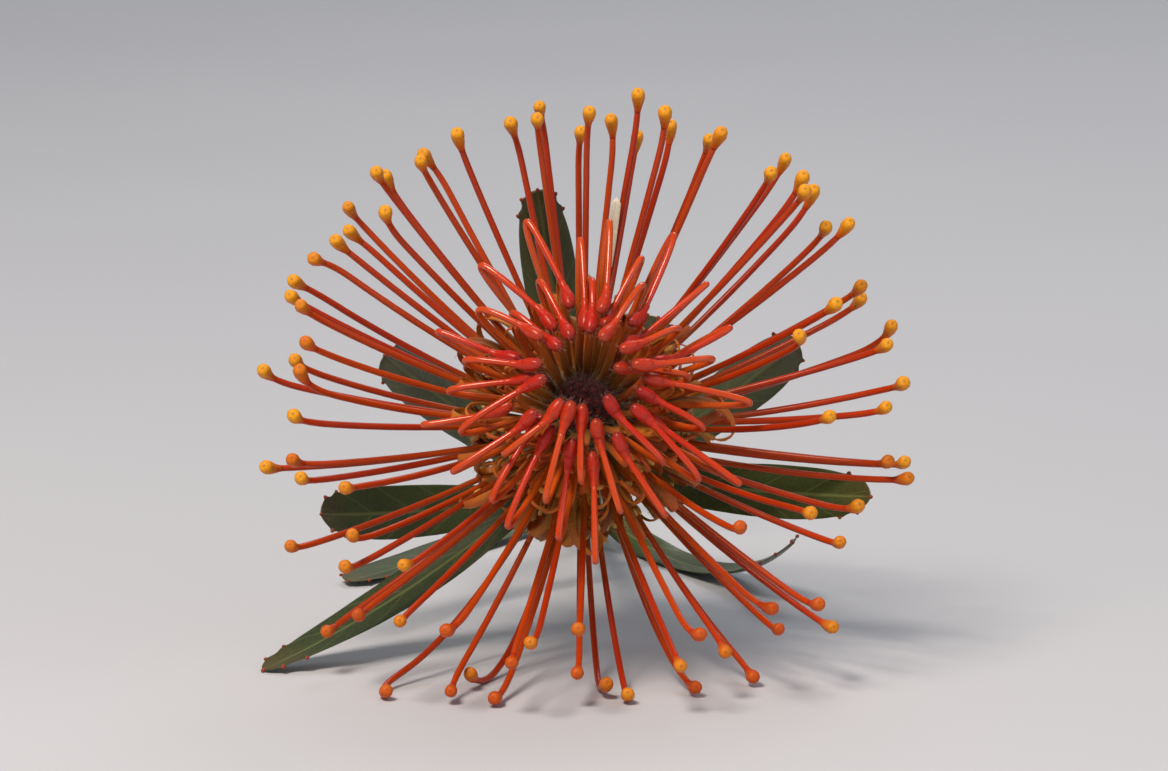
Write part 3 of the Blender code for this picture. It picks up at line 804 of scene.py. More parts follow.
class Sweep(Recipe):
    """Runs one closed profile along every strand of a mesh of edges.

    The profile is round, or flattened to Depth and Width shares of the girth. Cup bends its edges
    towards the flat side, Rib sinks its middle away from it, and Flutes gives it lobes. Lumps
    roughens it at the scale of LumpSize. The girth and the margin in the UV map are shares.
    """

    lobes = 4.0
    rib_width = 0.3
    margin = 0.06
    weld = 0.0005 * MM

    def __init__(self) -> None:
        """Build the tree."""
        super().__init__("sweep", Int="Sides", Float="Depth Width Cup Rib Flutes Lumps LumpSize",
                         Vector="Cell", Material="Material")
        put, start = self.put, self.start
        curve = put("GeometryNodeMeshToCurve", start["Geometry"])
        flat, cell = (put(NAMED, name, data_type="FLOAT_VECTOR") for name in ("flat", "cell"))
        turned = put("GeometryNodeSetCurveNormal", {"Curve": curve, "Normal": flat}, mode="FREE")
        swept = put(SWEPT, {
            "Curve": turned, "Profile Curve": self.profile(), "Scale": put(NAMED, "girth")})
        place = put(COMBINE, self.seam_free(start["Sides"]), put(NAMED, "run"))
        mapped = put(VECTOR, "MULTIPLY_ADD", place, start["Cell"], cell)
        strips = put(STORE, swept, {"Name": "OFBake", "Value": mapped}, data_type="FLOAT2",
                     domain="CORNER")
        thick = put(MATH, "MULTIPLY", put(NAMED, "side"), put(NAMED, "stout"))
        thicker = put(VECTOR, "SCALE", flat, {"Scale": thick})
        stout = put(MOVE, strips, {"Offset": thicker})
        self.close(self.lumpy(put(MERGE, stout, {"Distance": self.weld})))

    def profile(self) -> Signal:
        """The profile curve, with its own coordinates kept on it."""
        put, start = self.put, self.start
        spot = put("ShaderNodeSeparateXYZ", put(POSITION)).outputs
        thin, wide = spot[0], spot[1]
        shape = put(CIRCLE, {"Resolution": start["Sides"], "Radius": 1.0})
        for name, value in (("side", thin), ("across", wide), ("around", put(INDEX))):
            shape = put(STORE, shape, {"Name": name, "Value": value})
        angle = put(MATH, "ARCTAN2", wide, thin)
        wave = put(MATH, "COSINE", put(MATH, "MULTIPLY", angle, self.lobes))
        bulge = put(MATH, "MULTIPLY_ADD", wave, start["Flutes"], 1.0)
        depth, width = (put(MATH, "MULTIPLY", bulge, start[name]) for name in ("Depth", "Width"))
        level = put(MATH, "MULTIPLY", wide, wide)
        cupped = put(MATH, "MULTIPLY", level, start["Cup"])
        middle = put(MATH, "ABSOLUTE", wide)
        groove = put(RANGE, middle, 0.0, self.rib_width, start["Rib"], 0.0)
        sunk = put(MATH, "SUBTRACT", cupped, groove)
        x = put(MATH, "MULTIPLY_ADD", thin, depth, sunk)
        y = put(MATH, "MULTIPLY", wide, width)
        return put(MOVE, shape, {"Position": put(COMBINE, x, y)})

    def lumpy(self, shape: Signal) -> Signal:
        """The shape with soft lumps, as a share of the girth where they are."""
        put, start = self.put, self.start
        scale = put(MATH, "DIVIDE", 1.0, start["LumpSize"])
        noise = put(NOISE, {"Vector": put(POSITION), "Scale": scale, "Detail": 2.0})
        level = put(MATH, "SUBTRACT", noise, 0.5)
        share = put(MATH, "MULTIPLY", level, start["Lumps"])
        height = put(MATH, "MULTIPLY", share, put(NAMED, "girth"))
        offset = put(VECTOR, "SCALE", put("GeometryNodeInputNormal"), {"Scale": height})
        return put(MOVE, shape, {"Offset": offset})

    def make(self, name: str, strands: Sequence[Strand], material: Material,
             sides: int = 10, slender: float = 12.0, **shape: float) -> Object:
        """Sweep the profile along the strands into one piece.

        Args:
            name: The piece's name.
            strands: The routes.
            material: What covers it.
            sides: The number of sides of the profile.
            slender: How much longer than its girth a strand is, for its strip of the UV map.
            shape: Depth, Width, Cup, Rib, Flutes, Lumps and LumpSize, where not the usual.

        Returns:
            The piece.
        """
        columns = min(len(strands), max(1, math.ceil(math.sqrt(len(strands) * slender))))
        rows = math.ceil(len(strands) / columns)
        labels = "girth", "flat", "heading", "along", "run", "down", "stout", "tone", "cell"
        fields, points, edges = {label: [] for label in labels}, [], []
        for number, strand in enumerate(strands):
            first = len(points)
            corner = ((number % columns + self.margin) / columns,
                      (number // columns + self.margin) / rows, 0.0)
            for point, *row in strand.rows():
                points.append(point)
                for values, value in zip(fields.values(), (*row, strand.tone, corner)):
                    values.append(value)
            edges += [(i, i + 1) for i in range(first, len(points) - 1)]
        mesh = bpy.data.meshes.new(name)
        mesh.from_pydata(points, edges, [])
        for label, values in fields.items():
            vector = not isinstance(values[0], (int, float))
            kind, field = ("FLOAT_VECTOR", "vector") if vector else ("FLOAT", "value")
            attribute = mesh.attributes.new(label, kind, "POINT")
            attribute.data.foreach_set(field, np.array(values, np.float32).ravel())
        kept = 1.0 - 2.0 * self.margin
        usual = {
            "Depth": 1.0, "Width": 1.0, "Cup": 0.0, "Rib": 0.0, "Flutes": 0.0, "Lumps": 0.0,
            "LumpSize": 1.0 * MM, "Sides": sides, "Material": material,
            "Cell": (kept / columns, kept / rows, 0.0)}
        return self.use(bpy.data.objects.new(name, mesh), usual | shape)


class Bristles(Recipe):
    """Grows fine hairs, pointed at both ends, from the faces of a mesh.

    The down attribute thins them out, and Lay leans them along the heading attribute.
    """

    shortest = 0.55
    joints = 4
    sides = 3
    weld = 0.0001
    cell = (0.8, 0.8, 0.0)
    corner = (0.1, 0.1, 0.0)

    def __init__(self) -> None:
        """Build the tree."""
        super().__init__("bristles", Float="Density Length Radius Lay Spread Bend", Int="Seed",
                         Material="Material")
        put, start = self.put, self.start
        seed = {"Seed": start["Seed"]}
        density = put(MATH, "MULTIPLY", put(NAMED, "down"), start["Density"])
        scattered = put("GeometryNodeDistributePointsOnFaces", start["Geometry"],
                        {"Density": density}, seed)
        heading = put(NAMED, "heading", data_type="FLOAT_VECTOR")
        laid = put(VECTOR, "SCALE", heading, {"Scale": start["Lay"]})
        loose = put(RANDOM, (-1.0, -1.0, -1.0), (1.0, 1.0, 1.0), seed, data_type="FLOAT_VECTOR")
        spread = put(VECTOR, "SCALE", loose, {"Scale": start["Spread"]})
        leaning = put(VECTOR, "ADD", laid, scattered.outputs["Normal"])
        direction = put(VECTOR, "ADD", leaning, spread)
        turned = put("FunctionNodeAlignRotationToVector", {"Vector": direction}, axis="Z")
        size = put(RANDOM, {2: self.shortest, 3: 1.0}, seed, data_type="FLOAT").outputs[1]
        grown = put("GeometryNodeInstanceOnPoints", scattered, {
            "Instance": self.hair(), "Rotation": turned,
            "Scale": put(MATH, "MULTIPLY", size, start["Length"])})
        numbered = put(STORE, grown, {"Name": "number", "Value": put(INDEX)}, data_type="INT",
                       domain="INSTANCE")
        shade = put(RANDOM, {2: 0.0, 3: 1.0}, data_type="FLOAT").outputs[1]
        toned = put(STORE, numbered, {"Name": "tone", "Value": shade}, domain="INSTANCE")
        total = put("GeometryNodeAttributeDomainSize", toned, component="INSTANCES")
        self.close(self.mapped(put(REAL, toned), total.outputs["Instance Count"]))

    def hair(self) -> Signal:
        """One hair of unit length along Z, with its own place kept on it."""
        put, start = self.put, self.start
        line = put("GeometryNodeCurvePrimitiveLine", {"End": (0.0, 0.0, 1.0)})
        curve = put("GeometryNodeResampleCurve", line, {"Count": self.joints})
        along = put(NAMED, "along")
        for name, value in (("along", put("GeometryNodeSplineParameter")), ("hair_run", along)):
            curve = put(STORE, curve, {"Name": name, "Value": value})
        square = put(MATH, "MULTIPLY", along, along)
        bent = put(COMBINE, put(MATH, "MULTIPLY", square, start["Bend"]))
        curve = put(MOVE, curve, {"Offset": bent})
        swell = put(MATH, "SUBTRACT", along, square)
        slim = put(MATH, "DIVIDE", start["Radius"], start["Length"])
        full = put(MATH, "MULTIPLY", slim, 4.0)
        girth = put(MATH, "MULTIPLY", swell, full)
        ring = put(CIRCLE, {"Resolution": self.sides, "Radius": 1.0})
        ring = put(STORE, ring, {"Name": "around", "Value": put(INDEX)})
        swept = put(SWEPT, {"Curve": curve, "Profile Curve": ring, "Scale": girth})
        local = put(COMBINE, self.seam_free(float(self.sides)), put(NAMED, "hair_run"))
        placed = put(STORE, swept, {"Name": "local", "Value": local}, data_type="FLOAT_VECTOR",
                     domain="CORNER")
        return put(MERGE, placed, {"Distance": self.weld})

    def mapped(self, shape: Signal, total: Signal) -> Signal:
        """The hairs with a square cell of the UV map for each."""
        put = self.put
        columns = put(MATH, "CEIL", put(MATH, "SQRT", total))
        number = put(NAMED, "number")
        column = put(MATH, "MODULO", number, columns)
        row = put(MATH, "FLOOR", put(MATH, "DIVIDE", number, columns))
        local = put(NAMED, "local", data_type="FLOAT_VECTOR")
        inset = put(VECTOR, "MULTIPLY_ADD", local, self.cell, self.corner)
        placed = put(VECTOR, "ADD", put(COMBINE, column, row), inset)
        unit = put(MATH, "DIVIDE", 1.0, columns)
        scaled = put(VECTOR, "SCALE", placed, {"Scale": unit})
        return put(STORE, shape, {"Name": "OFBake", "Value": scaled}, data_type="FLOAT2", domain="CORNER")

    def make(self, name: str, surface: Object, material: Material, **values: float) -> Object:
        """Grow hairs from a copy of a surface into one piece.

        Args:
            name: The piece's name.
            surface: The mesh that they grow from, which stays as it is.
            material: What covers them.
            values: Density, Length, Radius, Lay, Spread, Bend and Seed.

        Returns:
            The piece.
        """
        usual = {"Lay": 0.6, "Spread": 0.4, "Bend": 0.25, "Seed": 1, "Material": material}
        return self.use(bpy.data.objects.new(name, surface.data.copy()), usual | values)


# ---------------------------------------------------------------- finishes

# The way the flower faces. Tissues that take it as toward paint shade on the sides turned away from it.
AXIS = StemLine().head().facing

# Waxy cuticle of a fresh style: hard, glossy and even, yellower and duller at its foot, deep red behind.
# The dark foot and the deep red back are partly its own colour and partly painted shade.
STYLE_CUTICLE = Tissue(
    "waxy_style_cuticle",
    face=((0.0, "7C480C"), (0.2, "AA4408"), (0.42, "B02C02"), (0.8, "B22C02"), (1.0, "C43604")),
    back=((0.0, "562808"), (0.2, "661A04"), (0.5, "661002"), (1.0, "801804")),
    toward=AXIS, tone="D65608", tone_share=0.5, streak="781404", streak_share=0.25,
    roughness=(0.24, 0.34), specular=0.3, coat=0.15, coat_roughness=0.2, bump_mm=0.012)

# A style that is still held: taut, so its gloss is sharper, and bright red towards the limb. It is darker
# at its foot by the slit and behind, partly its own colour and partly painted shade.
HELD_CUTICLE = Tissue(
    "waxy_held_style_cuticle",
    face=((0.0, "925A10"), (0.25, "C6580E"), (0.6, "D2400A"), (0.85, "CE2A06"), (1.0, "CA1E04")),
    back=((0.0, "5E2C0A"), (0.3, "7E2008"), (1.0, "8E1206")),
    toward=AXIS, tone="E26C12", tone_share=0.35, streak="9A1605", streak_share=0.25,
    roughness=(0.2, 0.3), coat=0.5, coat_roughness=0.16, bump_mm=0.012)

# Pollen packed on a presenter: a dull yellow-orange crust that thins to the red of the style. The red
# tone is partly random and partly painted shade on the florets low on the head, and the darker back is
# painted shade.
PRESENTER_POLLEN = Tissue(
    "pollen_crust",
    face=((0.0, "CA3E0A"), (0.22, "DE640C"), (0.5, "EE8E12"), (0.985, "F6AA20"), (0.997, "C68A22")),
    back=((0.0, "8E2008"), (0.35, "B4400C"), (0.7, "C86210"), (0.985, "D07614"), (0.997, "A46C18")),
    toward=AXIS, tone="C42A08", tone_share=0.8, streak="B8440C", streak_share=0.25,
    grain_mm=0.3, grain_share=0.14, bump_mm=0.14, roughness=(0.4, 0.6), specular=0.25, coat=0.1,
    coat_roughness=0.35)

# Silky perianth: olive at its foot, darkened there by painted shade, then yellow-orange and downy.
PERIANTH = Tissue(
    "silky_perianth",
    face=((0.0, "44300C"), (0.25, "7E4E14"), (0.5, "D67C16"), (1.0, "DE6812")),
    back=((0.0, "38240A"), (0.3, "804010"), (0.6, "CE560E"), (1.0, "D23E0A")),
    tone="E6A432", tone_share=0.4, streak="80300C", streak_share=0.35,
    roughness=(0.4, 0.55), sheen=0.12, sheen_tint="F2D2B8", bump_mm=0.04)

# The closed tip of a floret: bright red felt that greys towards its point, darker behind as painted
# shade.
CLOSED_LIMB = Tissue(
    "red_felted_limb",
    face=((0.0, "D03A08"), (0.2, "D02806"), (0.4, "CE1A04"), (0.8, "BE1406"), (1.0, "7E201A")),
    back=((0.0, "9A1A06"), (0.6, "8C1206"), (1.0, "5E1C18")),
    toward=AXIS, tone="E2540F", tone_share=0.35, streak="7E0C05", streak_share=0.35,
    roughness=(0.3, 0.45), sheen=0.06, sheen_tint="F0B8A8", coat=0.25, coat_roughness=0.25,
    bump_mm=0.05)

# Emptied anthers on the curled tips: dry, cream-yellow.
ANTHER = Tissue(
    "dry_anther",
    face=((0.0, "D2742A"), (0.4, "E6A844"), (1.0, "F0C766")),
    back=((0.0, "B4501E"), (0.5, "C08434"), (1.0, "CFA246")),
    tone="F4DC90", tone_share=0.3, streak="8E5A22", streak_share=0.3,
    roughness=(0.4, 0.55), coat=0.2, bump_mm=0.06)

# A claw that dried on its style: papery, pale straw, with painted shade on its back.
FADED_CLAW = Tissue(
    "dry_straw_claw",
    face=((0.0, "EED49C"), (0.3, "FCF0CC"), (1.0, "FFFAE6")),
    back=((0.0, "C09C60"), (0.5, "DCC898"), (1.0, "E6DAB0")),
    toward=AXIS, tone="E8D4A0", streak="C0A470", streak_share=0.3,
    roughness=(0.4, 0.55), coat=0.3, coat_roughness=0.35, bump_mm=0.05)

# Silk on the limbs: fine pale hairs that catch the light, darker on the side turned from the flower's
# face as painted shade.
SILK = Tissue(
    "pale_silk_hair",
    face=((0.0, "A84A3A"), (0.5, "C88A78"), (1.0, "E4C4B4")),
    back=((0.0, "8A3A30"), (0.5, "A87468"), (1.0, "C8A498")),
    toward=AXIS, tone="8E4A4E", tone_share=0.6, roughness=(0.35, 0.5), sheen=0.2)

# Silk on the curled straps: the same hairs, straw coloured, darker behind as painted shade.
STRAP_SILK = Tissue(
    "straw_silk_hair",
    face=((0.0, "B8803A"), (0.5, "D2A868"), (1.0, "E8D4A8")),
    back=((0.0, "9A6830"), (0.5, "B48E58"), (1.0, "CFBA90")),
    toward=AXIS, tone="C87840", tone_share=0.5, roughness=(0.35, 0.5), sheen=0.2)

# Young buds: dark red-brown felt.
BUD_FELT = Tissue(
    "plum_bud_felt",
    face=((0.0, "34120C"), (0.5, "541E18"), (1.0, "763028")),
    back=((0.0, "200A06"), (0.6, "3A120C"), (1.0, "541E18")),
    tone="6A2E30", tone_share=0.45, streak="1E0806", streak_share=0.4,
    grain_mm=0.3, grain_share=0.3, bump_mm=0.12, roughness=(0.7, 0.9), sheen=0.3,
    sheen_tint="B08888")

# Wool between the buds: brown-mauve with paler tips, duller than silk, darker behind as painted shade.
BUD_WOOL = Tissue(
    "mauve_bud_wool",
    face=((0.0, "3E1A18"), (0.5, "6E4040"), (1.0, "A87E7A")),
    back=((0.0, "260E0C"), (0.5, "4A2826"), (1.0, "7A5452")),
    toward=AXIS, tone="5A3034", tone_share=0.7, roughness=(0.6, 0.8), sheen=0.2)

# Floral and involucral bracts: thin, dry, fawn felt with a rusty tip.
BRACT_FELT = Tissue(
    "fawn_bract_felt",
    face=((0.0, "77683E"), (0.5, "93774E"), (0.85, "A0744C"), (1.0, "7C3E26")),
    back=((0.0, "6A6238"), (0.6, "84683E"), (1.0, "7A4428")),
    tone="B89468", tone_share=0.4, streak="4E3A22", streak_share=0.4, streaks_round=6.0,
    grain_mm=0.3, grain_share=0.2, bump_mm=0.08, roughness=(0.65, 0.85), sheen=0.4,
    sheen_tint="E8DCC4")

# Down on bracts and stem: short, cream.
CREAM_DOWN = Tissue(
    "cream_down",
    face=((0.0, "A89468"), (1.0, "E0D6BC")),
    back=((0.0, "9A865C"), (1.0, "D2C6AA")),
    tone="C9A890", tone_share=0.4, roughness=(0.5, 0.7), sheen=0.3)


@dataclass(frozen=True)
class Bark(Tissue):
    """Young stem bark with a clean cut at its end, told apart by the cut attribute."""

    cut_stops: Stops = ((0.0, "6E6A3C"), (0.08, "8FA05A"), (0.2, "D8CE9E"), (0.62, "E2D9B2"),
                        (0.8, "CFC08E"), (1.0, "B8A878"))
    cut_edge: float = 0.02

    def two_sided(self, put: Put) -> Signal:
        """The bark's colour, and rings of cortex, wood and pith on the cut."""
        cut = put(ATTRIBUTE, attribute_name="down").outputs["Fac"]
        rings = put(RAMP, cut, stops=self.cut_stops)
        on_cut = put(MATH, "GREATER_THAN", cut, self.cut_edge)
        return put(MIX, {SHARE: on_cut, FIRST: super().two_sided(put), SECOND: rings},
                   data_type="RGBA").outputs[2]


# Green bark of a cut stem, flushed red on its upper side, a little rough.
STEM_BARK = Bark(
    "young_stem_bark",
    face=((0.0, "8A7A48"), (0.2, "7E7440"), (0.6, "80643A"), (1.0, "74683C")),
    back=((0.0, "7A7444"), (0.5, "6A6C38"), (1.0, "66683A")),
    tone="8A4630", tone_share=0.3, streak="5A3424", streak_share=0.55, streaks_round=4.0,
    streaks_along=26.0, grain_mm=0.5, grain_share=0.14, bump_mm=0.12, roughness=(0.5, 0.7))


@dataclass(frozen=True)
class Blade(Tissue):
    """A leathery leaf blade: midrib, slanting side veins and a fine net between them."""

    veins: float = 11.0
    slant: float = 0.16
    net_mm: float = 1.4
    rib_edges: Pair = (0.03, 0.09)
    vein_edges: Pair = (0.02, 0.1)
    vein_share: float = 0.5
    net_edges: Pair = (0.0, 0.08)
    net_share: float = 0.22
    pale: str = "7C8450"
    pale_share: float = 0.55

    def surface(self, put: Put) -> tuple[Signal, Signal]:
        """The nodes of the colour and the relief, both with the veins on them."""
        colour, height = super().surface(put)
        across, along = (put(ATTRIBUTE, attribute_name=name).outputs["Fac"]
                         for name in ("across", "along"))
        off = put(MATH, "ABSOLUTE", across)
        rib = put(RANGE, off, *self.rib_edges, 1.0, 0.0)
        shift = put(MATH, "MULTIPLY_ADD", off, -self.slant, along)
        order = put(MATH, "MULTIPLY", shift, self.veins)
        wave = put(MATH, "PINGPONG", order, 1.0)
        side = put(RANGE, wave, *self.vein_edges, self.vein_share, 0.0)
        net = put("ShaderNodeTexVoronoi", {
            "Vector": put(COORDS).outputs["Object"], "Scale": 1.0 / (self.net_mm * MM)},
            feature="DISTANCE_TO_EDGE")
        mesh = put(RANGE, net, *self.net_edges, self.net_share, 0.0)
        most = put(MATH, "MAXIMUM", rib, side)
        veined = put(MATH, "MAXIMUM", most, mesh)
        share = put(MATH, "MULTIPLY", veined, self.pale_share)
        pale = put(MIX, {SHARE: share, FIRST: colour, SECOND: self.pale}, data_type="RGBA")
        return pale.outputs[2], put(MATH, "MULTIPLY_ADD", veined, 0.5, height)


# Leathery leaf: dark green and half glossy above, greyer below.
LEAF_BLADE = Blade(
    "leathery_leaf_blade",
    face=((0.0, "5A5C34"), (0.2, "3C4822"), (0.85, "37441F"), (1.0, "5A4A26")),
    back=((0.0, "66683C"), (0.3, "4E5A30"), (1.0, "5C5A34")),
    tone="56622C", tone_share=0.35, streak="27331A", streak_share=0.4, streaks_round=2.0,
    streaks_along=7.0, grain_mm=0.4, bump_mm=0.05, roughness=(0.36, 0.5), coat=0.12)

# Hard callus on a leaf tooth: rust red, smooth.
LEAF_CALLUS = Tissue(
    "leaf_tooth_callus",
    face=((0.0, "7A4A28"), (1.0, "9A3420")),
    back=((0.0, "6A4224"), (1.0, "82301C")),
    tone="B0562E", tone_share=0.3, roughness=(0.3, 0.4))


# ---------------------------------------------------------------- pieces of the flower


def keep(piece: Object, nodes: Iterable[str]) -> None:
    """Settle a finished piece on the floor, tie it to the frame and report it.

    Args:
        piece: The piece, with its final mesh.
        nodes: The CAD nodes that it stands for.
    """
    mesh = piece.data
    places = np.empty(len(mesh.vertices) * 3, np.float32)
    mesh.vertices.foreach_get("co", places)
    places[2::3] = np.maximum(places[2::3], 0.0)
    mesh.vertices.foreach_set("co", places)
    mesh.update()
    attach(piece, "root")
    names = list(nodes)
    if names:
        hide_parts(*names)
    triangles = sum(len(face.vertices) - 2 for face in mesh.polygons)
    LOG.info("%s: %d triangles, for %d nodes", piece.name, triangles, len(names))


@dataclass(frozen=True)
class Tools:
    """What every class of pieces needs to build with."""

    head: Head
    sweep: Sweep
    bristles: Bristles

    def cover(self, name: str, strands: Sequence[Strand], material: Material, slot: Slot,
              nodes: Iterable[str], **shape: float) -> Object:
        """Sweep strands into one piece with what Sweep.make takes, and keep it."""
        piece = self.sweep.make(name, strands, material, **shape)
        keep(piece, nodes)
        return piece

    def fur(self, name: str, surface: Object, material: Material, slot: Slot,
            nodes: Iterable[str], **values: float) -> None:
        """Grow hairs from a surface with the values that Bristles.make takes, and keep them."""
        keep(self.bristles.make(name, surface, material, **values), nodes)


def shaped(outline: Outline, stations: Sequence[float], size: float) -> list[float]:
    """The girth at each station of an outline that is given as shares of a size."""
    return [size * table(outline, share) for share in stations]


def style_strand(floret: Floret, route: list[Vector], outline: Outline, tone: float) -> Strand:
    """A style along a route, closed at both ends, its thickness eased along an outline."""
    girths = [rounded(outline, share) * floret.sizes.style for share in spaced(len(route))]
    girths[0] = girths[-1] = 0.0
    return Strand(route, girths, square_to(route, floret.side), tone)


@dataclass(frozen=True)
class Curl:
    """One kind of strap that rolls back: its size, and how its length and its turn vary."""

    length: float
    half_width: float
    lengths: Pair
    turns: Pair


@dataclass
class OpenFlorets:
    """The florets whose styles stand free: tube, style, pollen presenter and curled perianth."""

    tools: Tools
    florets: list[Floret]
    nodes: list[str]
    mouth: float = 9.5 * MM
    style_points: int = 40
    style_foot: float = 1.5 * MM
    style_head: float = 1.8 * MM
    style_outline: Outline = ((0.0, 0.72), (0.15, 0.92), (0.5, 1.0), (0.9, 0.98), (1.0, 0.92))
    knob_outline: Outline = (
        (0.0, 0.0), (0.02, 0.49), (0.1, 0.52), (0.35, 0.8), (0.52, 0.97), (0.68, 1.06), (0.8, 1.04),
        (0.88, 0.92), (0.94, 0.71), (0.975, 0.48), (0.992, 0.24), (1.0, 0.0))
    knob_stations: tuple[float, ...] = (
        0.0, 0.02, 0.12, 0.24, 0.35, 0.45, 0.56, 0.68, 0.77, 0.84, 0.89, 0.93, 0.96, 0.98, 0.992,
        1.0)
    knob_sizes: Pair = (0.93, 1.06)
    nod: float = 0.75
    # The share of a knob's red tone that is painted shade on the florets low on the head, and the curve
    # that eases that tone.
    shading: float = 0.55
    tone_and_shade_curve: Outline = ((0.35, 0.0), (0.85, 1.0))
    tube_radius: float = 1.02 * MM
    tube_outline: Outline = ((0.0, 0.0), (0.02, 0.7), (0.3, 0.95), (0.6, 1.08), (0.85, 1.0),
                             (0.97, 1.12), (1.0, 0.0))
    tube_stations: tuple[float, ...] = (0.0, 0.02, 0.12, 0.3, 0.45, 0.6, 0.75, 0.88, 0.97, 1.0)
    tube_colours: float = 0.75
    strap: Curl = Curl(17.0 * MM, 1.05 * MM, (0.85, 1.1), (0.7, 1.1))
    claw: Curl = Curl(13.0 * MM, 0.45 * MM, (0.8, 1.2), (0.5, 0.95))
    turn: float = math.radians(430.0)
    strap_roll: float = 0.9
    claw_roll: float = 0.8
    curl_root: float = 0.8
    curl_steps: int = 22
    curl_starts: Pair = (1.3, 2.1)
    curl_drift: float = 0.12
    curl_outline: Outline = ((0.0, 0.9), (0.5, 1.0), (0.9, 0.6), (1.0, 0.0))
    rolled: int = 40
    fresh_length: float = 1.35
    fresh_turn: float = 0.7
    anther_length: float = 2.8 * MM
    anther_radius: float = 0.58 * MM
    anther_outline: Outline = ((0.0, 0.0), (0.15, 0.75), (0.45, 1.0), (0.8, 0.7), (1.0, 0.0))
    dried: int = 59
    dried_span: Pair = (21.5 * MM, 36.0 * MM)
    dried_points: int = 14
    dried_half_width: float = 0.95 * MM
    dried_outline: Outline = ((0.0, 0.0), (0.08, 0.35), (0.4, 0.7), (0.9, 1.0), (0.97, 0.85), (1.0, 0.0))
    dried_stand: float = 1.2 * MM
    dried_shift: float = 1.2 * MM

    def build(self) -> None:
        """Make all pieces of the open florets."""
        self.build_styles()
        self.build_presenters()
        self.build_tubes()
        self.build_curls()
        self.build_dried_claw()

    def tone(self, floret: Floret) -> float:
        """How far a floret's colour strays, from 0 to 1."""
        return random.Random(floret.number * 7 + 3).random()

    def knob_foot(self, floret: Floret) -> float:
        """How far along its route a floret's presenter starts."""
        return length_of(floret.route) - floret.sizes.knob

    def build_styles(self) -> None:
        """The styles, from the mouth of the perianth to the foot of the presenter."""
        strands = []
        for floret in self.florets:
            route = stretch(floret.route, self.mouth - self.style_foot,
                            self.knob_foot(floret) + self.style_head, spaced(self.style_points))
            strands.append(style_strand(floret, route, self.style_outline, self.tone(floret)))
        self.tools.cover("open_styles", strands, STYLE_CUTICLE.material(), Slot.FLORET, self.nodes,
                         Lumps=0.12, LumpSize=1.6 * MM)

    def build_presenters(self) -> None:
        """The pollen presenters, the knobs on the tips of the styles."""
        facing, stations = self.tools.head.facing, self.knob_stations
        strands = []
        for floret in self.florets:
            foot, sizes = self.knob_foot(floret), floret.sizes
            fat = sizes.knob_radius * random.Random(floret.number * 11 + 5).uniform(*self.knob_sizes)
            straight = stretch(floret.route, foot, foot + sizes.knob, stations)
            route = [straight[0]]
            for share, before, after in zip(stations, straight, straight[1:]):
                step = after - before
                ahead = step.normalized().lerp(facing, self.nod * share)
                route.append(route[-1] + ahead.normalized() * step.length)
            # Painted shade: a knob low on the head gets a redder tone, mixed with its own random one.
            shade = mix(self.tone(floret), 0.5 - 0.5 * math.sin(floret.azimuth), self.shading)
            strands.append(Strand(
                route, shaped(self.knob_outline, stations, fat), square_to(route, floret.side),
                rounded(self.tone_and_shade_curve, shade), along=list(stations)))
        self.tools.cover("pollen_presenters", strands, PRESENTER_POLLEN.material(), Slot.FLORET,
                         self.nodes, sides=12, slender=1.4, Lumps=0.22, LumpSize=0.7 * MM)

    def build_tubes(self) -> None:
        """The lower tubes of the perianths, which hold the styles at their seats."""
        stations = self.tube_stations
        girths = shaped(self.tube_outline, stations, self.tube_radius)
        along = [self.tube_colours * share for share in stations]
        strands = [
            Strand(stretch(floret.route, 0.0, self.mouth, stations), girths, floret.away,
                   self.tone(floret), along=along)
            for floret in self.florets]
        self.tools.cover("perianth_tubes", strands, PERIANTH.material(), Slot.FLORET, self.nodes,
                         sides=12, slender=3.0, Flutes=0.06, Lumps=0.1)

    def curl(self, floret: Floret, kind: Curl, length: float, roll: float, turn: float,
             draw: random.Random) -> tuple[Strand, Strand]:
        """One rolled-back strap of a perianth, and the anther limb at its end.

        Args:
            floret: The floret that it belongs to, which rolls it less if it opened lately.
            kind: The kind of strap.
            length: Its length, as a share of the usual.
            roll: The side that it rolls to, round the tube, 0 for away from the axis.
            turn: How far it rolls up, as a share of the usual.
            draw: Where its random tones come from.

        Returns:
            The strap and the limb.
        """
        start = point_at(floret.route, self.mouth - 0.8 * MM)
        heading = (point_at(floret.route, self.mouth) - start).normalized()
        back = squared(floret.away * 0.5 - self.tools.head.facing, heading)
        back = back * math.cos(roll) + heading.cross(back) * math.sin(roll)
        across = heading.cross(back)
        fresh = max(0.0, (floret.number - self.rolled) / (len(self.florets) - 1 - self.rolled))
        length *= kind.length * mix(1.0, self.fresh_length, fresh)
        turn *= self.turn * mix(1.0, self.fresh_turn, fresh)
        count = self.curl_steps
        route, flats = [start + back * (self.curl_root * self.tube_radius)], []
        for step in range(count):
            angle = turn * ((step + 0.5) / count) ** mix(*self.curl_starts, fresh)
            ahead = heading * math.cos(angle) + back * math.sin(angle)
            drift = across * (self.curl_drift * step / count)
            flats.append(heading * -math.sin(angle) + back * math.cos(angle))
            route.append(route[-1] + (ahead + drift).normalized() * (length / count))
        flats.append(flats[-1])
        girths = shaped(self.curl_outline, spaced(count + 1), kind.half_width)
        girths[0] = 0.0
        strap = Strand(route, girths, flats, draw.random())
        end, ahead = route[-2], (route[-1] - route[-2]).normalized()
        limb = [end + ahead * self.anther_length * share for share, _ in self.anther_outline]
        swell = [self.anther_radius * share for _, share in self.anther_outline]
        return strap, Strand(limb, swell, flats[-1], draw.random())

